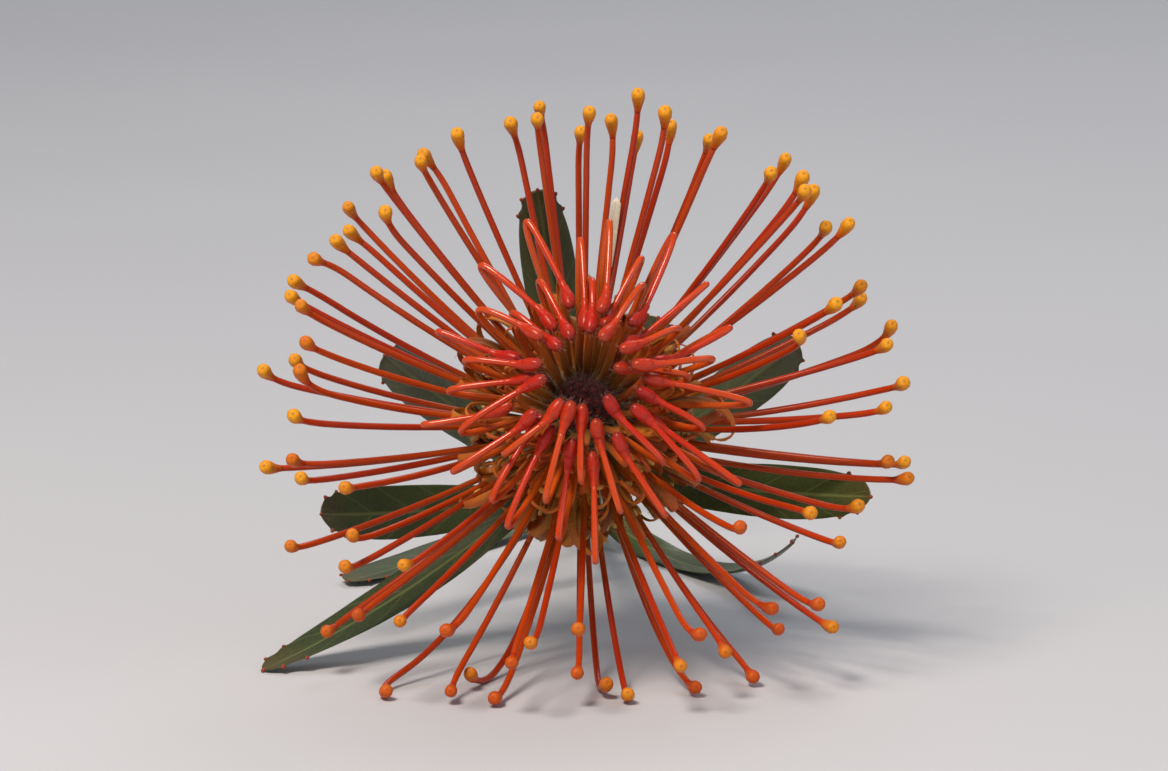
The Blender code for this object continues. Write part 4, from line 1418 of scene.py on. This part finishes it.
    def build_curls(self) -> None:
        """The rolled-back straps and claws of the open perianths, and their anther limbs."""
        straps, claws, limbs = [], [], []
        for floret in self.florets:
            draw = random.Random(floret.number * 13 + 1)
            roll = vary(draw, self.strap_roll)
            for kind, curls in ((self.strap, straps), (self.claw, claws)):
                length = draw.uniform(*kind.lengths)
                if kind is self.claw:
                    roll += math.pi + vary(draw, self.claw_roll)
                turn = draw.uniform(*kind.turns)
                curl, limb = self.curl(floret, kind, length, roll, turn, draw)
                curls.append(curl)
                limbs.append(limb)
        material = PERIANTH.material()
        cover = partial(self.tools.cover, slot=Slot.FLORET, nodes=self.nodes)
        piece = cover("curled_straps", straps, material, sides=8, Depth=0.22, Cup=0.3)
        self.tools.fur("curled_strap_silk", piece, STRAP_SILK.material(), Slot.FLORET, self.nodes,
                       Density=1.4e6, Length=1.0 * MM, Radius=0.022 * MM, Lay=1.0, Spread=0.6)
        cover("curled_claws", claws, material, sides=6, Depth=0.5)
        cover("anther_limbs", limbs, ANTHER.material(), sides=8, slender=2.0, Lumps=0.2,
              LumpSize=0.5 * MM)

    def build_dried_claw(self) -> None:
        """The one claw that dried on its style instead of rolling back."""
        floret, facing = self.florets[self.dried], self.tools.head.facing
        shares = spaced(self.dried_points)
        route = stretch(floret.route, *self.dried_span, shares)
        lifts = [squared(facing, heading) for heading in headings(route)]
        clear = floret.sizes.style + 0.25 * self.dried_half_width
        route = [point + lift * (clear + self.dried_stand * share) - RIGHT * self.dried_shift * share
                 for point, lift, share in zip(route, lifts, shares)]
        girths = shaped(self.dried_outline, shares, self.dried_half_width)
        self.tools.cover("dried_claw", [Strand(route, girths, lifts)], FADED_CLAW.material(),
                         Slot.FLORET, [], sides=12, Depth=0.28, Cup=0.25, Lumps=0.15,
                         LumpSize=2.0 * MM)


@dataclass
class LoopedFlorets:
    """The florets whose styles are still held: claws, bowed style and closed limb."""

    tools: Tools
    florets: list[Floret]
    nodes: list[str]
    style_steps: int = 48
    style_outline: Outline = ((0.0, 0.8), (0.2, 1.0), (0.85, 1.02), (1.0, 0.9))
    sheath_steps: int = 30
    sheath_half_width: float = 0.8 * MM
    sheath_outline: Outline = ((0.0, 0.0), (0.02, 0.75), (0.15, 0.95), (0.35, 1.0), (0.6, 1.0),
                               (0.9, 0.85), (0.98, 0.9), (1.0, 0.0))
    free_half_width: float = 0.34 * MM
    free_share: float = 0.16
    limb_neck: float = 2.4 * MM
    limb_turn: float = 1.4 * MM
    bend_handle: float = 0.4
    bend_steps: int = 12
    limb_points: int = 22
    limb_crowding: float = 1.3
    limb_outline: Outline = (
        (0.0, 0.0), (0.01, 0.5), (0.2, 0.56), (0.4, 0.82), (0.58, 1.02), (0.72, 1.04), (0.84, 0.9),
        (0.92, 0.66), (0.97, 0.4), (1.0, 0.0))
    silk_start: float = 0.55
    silk_growth: float = 5.0

    def build(self) -> None:
        """Make all pieces of the looped florets."""
        self.build_styles()
        self.build_claws()
        self.build_limbs()

    def bow(self, floret: Floret, steps: int) -> list[Vector]:
        """The route of a floret's bowed style."""
        return bezier(*floret.bow_handles, steps)

    def tone(self, floret: Floret) -> float:
        """How far a floret's colour strays, from 0 to 1, the same for its style and its limb."""
        return random.Random(floret.number).random()

    def build_styles(self) -> None:
        """The bowed styles."""
        strands = [style_strand(floret, self.bow(floret, self.style_steps), self.style_outline,
                                self.tone(floret)) for floret in self.florets]
        self.tools.cover("looped_styles", strands, HELD_CUTICLE.material(), Slot.FLORET, self.nodes,
                         Lumps=0.1, LumpSize=1.6 * MM)

    def build_claws(self) -> None:
        """The sheath of three joined claws, and the free claw beside the style."""
        sheaths, frees = [], []
        last = self.sheath_steps
        shares = [i / last for i in range(last + 1)]
        girths = shaped(self.sheath_outline, shares, self.sheath_half_width)
        for floret in self.florets:
            tone = random.Random(floret.number + 500).random()
            route, bow = bezier(*floret.claw_handles, last), self.bow(floret, last)
            sheaths.append(Strand(route, girths, square_to(route, floret.side), tone))
            slit = floret.sizes.slit_step / floret.sizes.claw_steps
            free = []
            for point, share in zip(route, shares):
                if share >= slit:
                    part = (share - slit) / (1 - slit)
                    pull = self.free_share * math.sin(math.pi * part)
                    free.append(mix(point, bow[round(part * last)], pull))
            even = [0.0] + [self.free_half_width] * (len(free) - 2) + [0.0]
            frees.append(Strand(free, even, square_to(free, floret.side), tone))
        material = PERIANTH.material()
        self.tools.cover("looped_sheaths", sheaths, material, Slot.FLORET, self.nodes, Depth=0.42,
                         Cup=0.35)
        self.tools.cover("looped_free_claws", frees, material, Slot.FLORET, self.nodes, sides=6,
                         Depth=0.5)

    def build_limbs(self) -> None:
        """The closed limbs that hold the tips of the styles, and the silk on them."""
        neck, turn = self.limb_neck, self.limb_turn
        shares = spaced(self.limb_points, self.limb_crowding)
        down = [max(0.0, share - self.silk_start) ** 2 * self.silk_growth for share in shares]
        strands = []
        for floret in self.florets:
            sizes, bow = floret.sizes, self.bow(floret, self.style_steps)
            start = point_at(bow, length_of(bow) - neck)
            heading = (floret.limb - start).normalized()
            straight = floret.limb + floret.inward * turn
            bend = bezier(start, start + heading * self.bend_handle * neck,
                          straight - floret.inward * turn, straight, self.bend_steps)
            bend.append(floret.limb + floret.inward * sizes.limb_length)
            route = stretch(bend, 0.0, length_of(bend), shares)
            girths = [sizes.limb_girth * rounded(self.limb_outline, share) for share in shares]
            strands.append(Strand(route, girths, square_to(route, floret.side), self.tone(floret),
                                  along=shares, down=down))
        piece = self.tools.cover(
            "closed_limbs", strands, CLOSED_LIMB.material(), Slot.FLORET, self.nodes, sides=16,
            slender=1.6, Flutes=0.05, Lumps=0.12, LumpSize=0.9 * MM)
        self.tools.fur("limb_silk", piece, SILK.material(), Slot.FLORET, self.nodes, Density=3.2e6,
                       Length=1.1 * MM, Radius=0.028 * MM, Lay=0.9, Spread=0.45)


@dataclass
class HeadMiddle:
    """The young woolly buds in the middle, and the wool and scales between the seats."""

    tools: Tools
    florets: list[Floret]
    bud_length: float = 3.1 * MM
    bud_lengths: Pair = (0.85, 1.1)
    bud_radius: float = 0.95 * MM
    bud_depth: float = 0.6 * MM
    bud_bend: float = 0.4 * MM
    bud_spread: float = 0.55 / (4.0 * MM)
    bud_outline: Outline = ((0.0, 0.0), (0.03, 0.6), (0.3, 0.95), (0.55, 1.0), (0.8, 0.75),
                            (0.95, 0.35), (1.0, 0.0))
    bud_stations: tuple[float, ...] = (0.0, 0.03, 0.18, 0.35, 0.52, 0.68, 0.82, 0.93, 1.0)
    scale_length: float = 5.0 * MM
    scale_lengths: Pair = (0.8, 1.15)
    scale_half_width: float = 1.1 * MM
    scale_seat: Pair = (1.0 * MM, 0.9 * MM)
    scale_bend: float = 1.3 * MM
    scale_outline: Outline = ((0.0, 0.0), (0.04, 0.7), (0.35, 1.0), (0.7, 0.7), (1.0, 0.0))
    scale_stations: tuple[float, ...] = (0.0, 0.04, 0.2, 0.4, 0.6, 0.8, 1.0)

    def build(self) -> None:
        """Make the buds, the scales and the wool."""
        self.build_buds()
        self.build_scales()

    def build_buds(self) -> None:
        """The buds, which carry on the spiral of the florets to the tip of the cone."""
        head, stations = self.tools.head, self.bud_stations
        strands = []
        for number in range(len(self.florets), head.seats):
            radius, height = head.numbered(number)
            azimuth = head.azimuth(number)
            away = head.outward(azimuth)
            draw = random.Random(number)
            axis = head.forward(away, (self.bud_spread * radius, 1.0))
            length = self.bud_length * draw.uniform(*self.bud_lengths)
            base = head.point(radius, height - self.bud_depth, azimuth)
            route = [base + axis * length * share - away * self.bud_bend * share**2 for share in stations]
            girths = shaped(self.bud_outline, stations, self.bud_radius)
            strands.append(Strand(route, girths, away, draw.random()))
        nodes = ["centre_buds"]
        piece = self.tools.cover(
            "centre_buds_felt", strands, BUD_FELT.material(), Slot.BUDS, nodes, sides=12,
            slender=1.4, Flutes=0.08, Lumps=0.25, LumpSize=0.8 * MM)
        self.tools.fur("centre_buds_wool", piece, BUD_WOOL.material(), Slot.BUDS, nodes,
                       Density=8.0e6, Length=1.5 * MM, Radius=0.03 * MM, Lay=0.7, Spread=0.7,
                       Bend=0.5)

    def build_scales(self) -> None:
        """The pointed floral bracts that stand under each seat, and the wool on them."""
        facing, stations = self.tools.head.facing, self.scale_stations
        strands = []
        for floret in self.florets:
            draw = random.Random(floret.number + 70)
            seat = floret.tubes[0][0][0]
            heading = (point_at(floret.tubes[0][0], 4.0 * MM) - seat).normalized()
            back = squared(-facing, heading)
            length = self.scale_length * draw.uniform(*self.scale_lengths)
            base = seat - floret.away * self.scale_seat[0] + back * self.scale_seat[1]
            route = [base + heading * length * share + back * (self.scale_bend * share**2)
                     for share in stations]
            girths = shaped(self.scale_outline, stations, self.scale_half_width)
            strands.append(Strand(route, girths, back, draw.random()))
        piece = self.tools.cover("floral_bracts", strands, BRACT_FELT.material(), Slot.BRACTS, [],
                                 sides=8, slender=2.0, Depth=0.22, Cup=-0.3)
        self.tools.fur("floral_bract_wool", piece, CREAM_DOWN.material(), Slot.BRACTS, [],
                       Density=2.6e6, Length=2.2 * MM, Radius=0.03 * MM, Lay=1.6, Spread=0.8,
                       Bend=0.4)


@dataclass(frozen=True)
class BractRow:
    """One row of involucral bracts: its node, how many, its line as radius and height in mm, half
    a bract's width, how far round the row is turned, as a share of a bract, and its down's seed."""

    node: str
    count: int
    line: Outline
    half_width: float
    turn: float
    seed: int


@dataclass
class Involucre:
    """The overlapping downy bracts behind the florets."""

    tools: Tools
    rows: tuple[BractRow, ...] = (
        BractRow("upper_bracts", 11, ((3.6, -8.2), (5.6, -6.2), (7.6, -4.4), (9.3, -2.3), (10.0, -0.6)),
                 3.1 * MM, 0.0, 3),
        BractRow("lower_bracts", 9, ((3.5, -11.4), (4.7, -9.6), (6.4, -7.8), (8.2, -5.9), (9.2, -4.2)),
                 2.9 * MM, 0.4, 4))
    points: int = 16
    azimuth_stray: float = 0.07
    lift: float = 0.35 * MM
    shortest: float = 0.92
    outline: Outline = ((0.0, 0.0), (0.02, 0.5), (0.3, 0.92), (0.55, 1.0), (0.8, 0.72),
                        (0.93, 0.36), (1.0, 0.0))

    def build(self) -> None:
        """Make each row and its down."""
        head = self.tools.head
        shares = spaced(self.points)
        for row in self.rows:
            girths = shaped(self.outline, shares, row.half_width)
            strands = []
            for number in range(row.count):
                draw = random.Random(row.count * 100 + number)
                azimuth = math.tau * (number + row.turn) / row.count + vary(draw, self.azimuth_stray)
                lift = self.lift * (number % 2)
                points = [head.point(radius * MM + lift, height * MM, azimuth)
                          for radius, height in row.line]
                whole = length_of(points) * draw.uniform(self.shortest, 1.0)
                route = stretch(points, 0.0, whole, shares)
                flats = square_to(route, head.facing.cross(head.outward(azimuth)))
                strands.append(Strand(route, girths, flats, draw.random()))
            piece = self.tools.cover(
                row.node + "_felt", strands, BRACT_FELT.material(), Slot.BRACTS, [row.node],
                sides=16, slender=1.6, Depth=0.12, Cup=-0.3, Lumps=0.08, LumpSize=1.5 * MM)
            self.tools.fur(
                row.node + "_down", piece, CREAM_DOWN.material(), Slot.BRACTS, [row.node],
                Density=2.2e6, Length=0.9 * MM, Radius=0.025 * MM, Lay=1.4, Spread=0.5, Seed=row.seed)


@dataclass(frozen=True)
class LeafPlan:
    """One leaf: distance behind the head, place round the stem, length, angle to it, and bend."""

    station: float
    roll: float
    length: float
    angle: float
    bend: float


LEAVES = tuple(LeafPlan(*row) for row in (
    (12.0, 222.0, 72.0, 90.0, -12.0),
    (28.0, 348.0, 60.0, 68.0, -22.0),
    (42.0, 100.0, 62.0, 62.0, -28.0),
    (54.0, 192.0, 72.0, 56.0, -34.0),
    (68.0, 32.0, 74.0, 50.0, -30.0),
    (84.0, 145.0, 74.0, 48.0, -28.0),
    (100.0, 322.0, 74.0, 48.0, -18.0),
    (116.0, 200.0, 72.0, 46.0, -16.0),
    (132.0, 70.0, 64.0, 44.0, -14.0)))


@dataclass
class Stalk:
    """The stem with the cone that carries the florets, and its down."""

    tools: Tools
    line: StemLine
    cone: tuple[float, ...] = (0.83, 0.8, 0.7, 0.6, 0.5, 0.4, 0.3, 0.2, 0.14, 0.07, 0.0)
    inset: float = 0.37 * MM
    neck: Outline = ((1.5 * MM, 0.86), (4.5 * MM, 0.55))
    neck_length: float = 9.0 * MM
    steps: int = 120
    scar_height: float = 0.275 * MM
    scar_spread: float = 2.6 * MM
    cut_thickness: float = 0.2 * MM
    bark_share: float = 0.9
    bare_points: int = 12

    def girth(self, distance: float) -> float:
        """The stem's radius, with a swelling under each leaf."""
        return self.line.radius(distance) + self.scar_height * sum(
            math.exp(-(((distance - leaf.station * MM) / self.scar_spread) ** 2)) for leaf in LEAVES)

    def build(self) -> None:
        """Make the stem and the down on it."""
        head, line = self.tools.head, self.line
        points, girths = [], []
        for slot in self.cone:
            radius, height = head.seat(slot)
            points.append(head.centre + head.facing * height)
            girths.append(radius - self.inset)
        girths[0] = 0.0
        for distance, share in self.neck:
            points.append(head.centre - head.facing * distance)
            girths.append(share * head.radius)
        for step in range(self.steps + 1):
            distance = mix(self.neck_length, line.length, step / self.steps)
            points.append(line.point(head.centre, distance)[0])
            girths.append(self.girth(distance))
        cut = [0.0] * len(points) + [1.0]
        run = np.linspace(0.0, self.bark_share, len(points)).tolist() + [1.0]
        points.append(points[-1] + (points[-1] - points[-2]).normalized() * self.cut_thickness)
        girths.append(0.0)
        strand = Strand(points, girths, UP, run=run, down=cut)
        lumps = {"Lumps": 0.16, "LumpSize": 3.0 * MM}
        piece = self.tools.sweep.make("stem_bark", [strand], STEM_BARK.material(), sides=28,
                                      Flutes=0.015, **lumps)
        piece.data.set_sharp_from_angle(angle=math.radians(50.0))
        keep(piece, ["stem"])
        fuzz = [float(i >= self.bare_points and not end) for i, end in enumerate(cut)]
        base = self.tools.sweep.make("stem_surface", [Strand(points, girths, UP, down=fuzz)],
                                     STEM_BARK.material(), sides=20, **lumps)
        down = self.tools.bristles.make(
            "stem_down", base, CREAM_DOWN.material(), Density=1.3e6, Length=0.7 * MM,
            Radius=0.02 * MM, Lay=-0.5, Spread=0.6)
        bpy.data.objects.remove(base, do_unlink=True)
        keep(down, ["stem"])


# A leaf's midrib: for each step the point, the way its upper side looks, half the width there
# and the way across it.
Midrib = list[tuple[Vector, Vector, float, Vector]]


@dataclass
class Leaves:
    """The strap leaves, each with callus-tipped teeth at its end."""

    tools: Tools
    line: StemLine
    width: float = 10.5 * MM
    thickness: float = 0.8 * MM
    steps: int = 10
    gap: float = 0.35 * MM
    widest: float = 0.64
    foot: float = 0.3
    end: float = 0.22
    end_start: float = 0.9
    roundness: float = 2.6
    fold: float = 0.12
    level_below: float = 16.0 * MM
    level_growth: float = 3.0
    points: int = 64
    crowding: float = 1.25
    teeth: tuple[float, ...] = (0.905, 0.955)
    tooth_height: float = 0.55 * MM
    tooth_spread: float = 0.012
    depth: float = 0.06
    root_girth: float = 0.6
    root_lean: float = 0.6
    root: Outline = ((0.9 * MM, 0.95), (2.4 * MM, 0.0))
    thick: Outline = (
        (0.0, 0.95 * MM), (0.05, 0.8 * MM), (0.25, 0.42 * MM), (0.8, 0.3 * MM), (1.0, 0.22 * MM))
    callus: float = 0.5 * MM
    callus_sizes: Pair = (0.8, 1.15)
    callus_inset: float = 0.97
    callus_lean: float = 0.8
    callus_outline: Outline = ((-1.1, 0.0), (-0.8, 0.5), (-0.1, 0.85), (0.6, 0.65), (0.95, 0.3),
                               (1.1, 0.0))

    def half_width(self, share: float) -> float:
        """Half the width at a share of the length: narrow foot, round tip."""
        if share < self.widest:
            swell = math.sin(0.5 * math.pi * share / self.widest)
            return 0.5 * self.width * mix(self.foot, 1.0, swell)
        rest = (share - self.widest) / (1.0 - self.widest)
        return 0.5 * self.width * math.sqrt(max(0.0, 1.0 - rest**self.roundness))

    def away(self, plan: LeafPlan, heading: Vector) -> Vector:
        """The way that a leaf's seat looks, square to the stem's heading there."""
        roll = math.radians(plan.roll)
        return RIGHT * math.cos(roll) - heading.cross(RIGHT) * math.sin(roll)

    def route(self, plan: LeafPlan, lift: float) -> Midrib:
        """The midrib of a leaf that is bent up by lift towards its tip.

        Args:
            plan: The leaf.
            lift: How strongly it bends up.

        Returns:
            The midrib.
        """
        middle, heading = self.line.point(self.tools.head.centre, plan.station * MM)
        away = self.away(plan, heading)
        point = middle + away * (self.line.radius(plan.station * MM) + self.gap + 0.5 * self.thickness)
        rows = []
        for step in range(self.steps + 1):
            share = step / self.steps
            turn = math.radians(plan.angle + plan.bend * share)
            forward = (away * math.sin(turn) - heading * math.cos(turn)).normalized()
            forward = (forward + UP * (lift * share)).normalized()
            sideways = away.cross(forward).normalized()
            level = forward.cross(UP).normalized()
            if level.dot(sideways) < 0.0:
                level.negate()
            flatten = max(0.0, 1.0 - point.z / self.level_below) * min(1.0, self.level_growth * share)
            sideways = sideways.lerp(level, flatten).normalized()
            top = sideways.cross(forward).normalized()
            if top.z < 0.0:
                top.negate()
            least = 0.5 * self.width * self.end if share > self.end_start else 0.0
            rows.append((point.copy(), top, max(self.half_width(share), least), sideways))
            point = point + forward * (plan.length * MM / self.steps)
        return rows

    def lowest(self, rows: Midrib) -> float:
        """How low the underside of a leaf reaches."""
        return min(
            min(point.z, point.z + top.z * self.fold * half - abs(sideways.z) * half)
            for point, top, half, sideways in rows) - 0.5 * self.thickness

    def build(self) -> None:
        """Make each leaf, and the calluses of all."""
        calluses = []
        blade = LEAF_BLADE.material()
        for number, plan in enumerate(LEAVES):
            rows = settled(lambda lift: self.route(plan, lift), self.lowest)
            strand, teeth = self.strand(rows, plan, number)
            calluses += teeth
            name = f"leaf_{number + 1:02d}"
            self.tools.cover(name + "_blade", [strand], blade, Slot.LEAF, [name], sides=26,
                             Depth=self.depth, Cup=self.fold, Rib=0.05, Lumps=0.05,
                             LumpSize=7.0 * MM)
        self.tools.cover("leaf_calluses", calluses, LEAF_CALLUS.material(), Slot.LEAF, [], sides=8,
                         slender=1.2)

    def strand(self, rows: Midrib, plan: LeafPlan, number: int) -> tuple[Strand, list[Strand]]:
        """The strand of one leaf's blade, and those of its calluses.

        Args:
            rows: The leaf's midrib.
            plan: The leaf.
            number: The leaf's number.

        Returns:
            The blade, and the callus on each tooth.
        """
        draw = random.Random(number + 40)
        points, shares = [row[0] for row in rows], spaced(self.points, self.crowding)
        route = stretch(points, 0.0, length_of(points), shares)
        tops, sides, girths = [], [], []
        for share in shares:
            place = share * self.steps
            index = min(int(place), self.steps - 1)
            for ways, column in ((tops, 1), (sides, 3)):
                before, after = rows[index][column], rows[index + 1][column]
                ways.append(before.lerp(after, place - index).normalized())
            tooth = sum(math.exp(-(((share - spot) / self.tooth_spread) ** 2)) for spot in self.teeth)
            girths.append(self.half_width(share) + self.tooth_height * tooth)
        girths[-1] = 0.0
        girths[0] *= self.root_girth
        heading = self.line.point(self.tools.head.centre, plan.station * MM)[1]
        seat, foot = route[0], girths[0]
        out = (route[1] - seat).normalized()
        out = out.lerp(self.away(plan, heading), self.root_lean).normalized()
        for reach, share in self.root:
            route.insert(0, seat - out * reach)
            tops.insert(0, tops[0])
            girths.insert(0, foot * share)
        buried = len(self.root)
        along = [0.0] * buried + shares
        stout = [max(0.0, rounded(self.thick, share) - self.depth * girth)
                 for share, girth in zip(along, girths)]
        stout[0] = 0.0
        calluses = []
        for share, side in [(share, side) for share in self.teeth for side in (-1, 1)] + [(1.0, 0)]:
            spot = min(range(len(shares)), key=lambda i: abs(shares[i] - share))
            index = spot + buried
            half = girths[index] * self.callus_inset
            heading = (route[index] - route[index - 1]).normalized()
            place = route[index] + sides[spot] * side * half + tops[index] * self.fold * half
            out = (heading + sides[spot] * side * self.callus_lean).normalized()
            size = self.callus * draw.uniform(*self.callus_sizes)
            body = [place + out * size * step for step, _ in self.callus_outline]
            swell = [size * part for _, part in self.callus_outline]
            calluses.append(Strand(body, swell, tops[index], draw.random()))
        return Strand(route, girths, tops, draw.random(), along=along, stout=stout), calluses


# ---------------------------------------------------------------- the studio


@dataclass(frozen=True)
class Lamp:
    """One soft square light: where it hangs from its target, its side, power and sRGB colour."""

    name: str
    offset: tuple[float, float, float]
    size: float
    watts: float
    colour: str

    def hang(self, target: Vector) -> None:
        """Hang the light so that it looks at its target."""
        data = bpy.data.lights.new(self.name, "AREA")
        data.size = self.size
        data.energy = self.watts
        data.color = linear(self.colour)[:3]
        aimed(data, target, Vector(self.offset))


def aimed(data: Any, target: Vector, offset: Vector) -> Object:
    """An object in the scene with a light's or camera's data, this far off what it looks at."""
    thing = bpy.data.objects.new(data.name, data)
    thing.location = target + offset
    thing.rotation_euler = (-offset).to_track_quat("-Z", "Y").to_euler()
    bpy.context.scene.collection.objects.link(thing)
    return thing


@dataclass(frozen=True)
class Studio:
    """A plain pale floor, soft lights and the camera."""

    head: Head
    distance: float = 1.2
    elevation: float = math.radians(11.0)
    view_height: float = 142.0 * MM
    view_middle: Pair = (18.0 * MM, 4.0 * MM)
    aspect: float = 1168.0 / 771.0
    sensor: float = 36.0
    nearest: float = 0.05
    floor_size: float = 14.0
    floor_drop: float = 0.05 * MM
    floor_stops: Stops = ((0.3, "CACDD4"), (0.7, "CFD2D8"))
    floor_roughness: float = 0.75
    sky: str = "E6EAF2"
    sky_strength: float = 0.24
    lamps: tuple[Lamp, ...] = (
        Lamp("key", (-0.4, -0.6, 1.05), 0.42, 15.5, "FFF1E2"),
        Lamp("fill", (0.95, -0.55, 0.45), 0.9, 2.2, "F2F4FF"),
        Lamp("rim", (0.25, 0.9, 0.9), 0.6, 3.5, "FFFFFF"))

    def build(self) -> None:
        """Lay the floor, hang the lights and set the camera."""
        self.lay_floor()
        scene = bpy.context.scene
        scene.world = bpy.data.worlds.new("studio")
        scene.world.use_nodes = True
        sky = scene.world.node_tree.nodes["Background"].inputs
        sky["Color"].default_value = linear(self.sky)
        sky["Strength"].default_value = self.sky_strength
        forward, up = self.view_middle
        middle = self.head.centre + self.head.facing * forward + UP * up
        for lamp in self.lamps:
            lamp.hang(middle)
        self.set_camera(middle)
        scene.view_settings.view_transform = "Standard"

    def lay_floor(self) -> None:
        """A wide plain floor just under the flower."""
        half, low = 0.5 * self.floor_size, -self.floor_drop
        mesh = bpy.data.meshes.new("floor")
        mesh.from_pydata([(-half, -half, low), (half, -half, low), (half, half, low),
                          (-half, half, low)], [], [(0, 1, 2, 3)])
        floor = bpy.data.objects.new("floor", mesh)
        bpy.context.scene.collection.objects.link(floor)
        material = bpy.data.materials.new("matt_painted_board")
        material.use_nodes = True
        tree = material.node_tree
        noise = add_node(tree, NOISE, {
            "Vector": add_node(tree, COORDS).outputs["Object"], "Scale": 3.0, "Detail": 3.0})
        colour = add_node(tree, RAMP, noise, stops=self.floor_stops)
        shader = tree.nodes["Principled BSDF"].inputs
        tree.links.new(colour.outputs[0], shader["Base Color"])
        shader["Roughness"].default_value = self.floor_roughness
        mesh.materials.append(material)

    def set_camera(self, target: Vector) -> None:
        """The camera, in front of the flower and a little above it."""
        data = bpy.data.cameras.new("camera")
        data.sensor_width = self.sensor
        data.lens = self.sensor * self.distance / (self.view_height * self.aspect)
        data.clip_start = self.nearest
        away = Vector((0.0, -math.cos(self.elevation), math.sin(self.elevation)))
        bpy.context.scene.camera = aimed(data, target, away * self.distance)


def main() -> None:
    """Build every piece in order, then the studio."""
    logging.basicConfig(level=logging.INFO, format="%(name)s %(message)s")
    line, sizes = StemLine(), FloretSizes()
    head = line.head()
    florets = grow_florets(head, sizes)
    tools = Tools(head, Sweep(), Bristles())
    nodes = sorted(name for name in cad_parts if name.startswith("floret_"))
    rows = [name for name in nodes if name.startswith("floret_row_")]
    OpenFlorets(tools, florets[: sizes.opened], nodes).build()
    LoopedFlorets(tools, florets[sizes.opened :], rows).build()
    HeadMiddle(tools, florets).build()
    Involucre(tools).build()
    Stalk(tools, line).build()
    Leaves(tools, line).build()
    Studio(head).build()


if __name__ == "__main__":
    main()
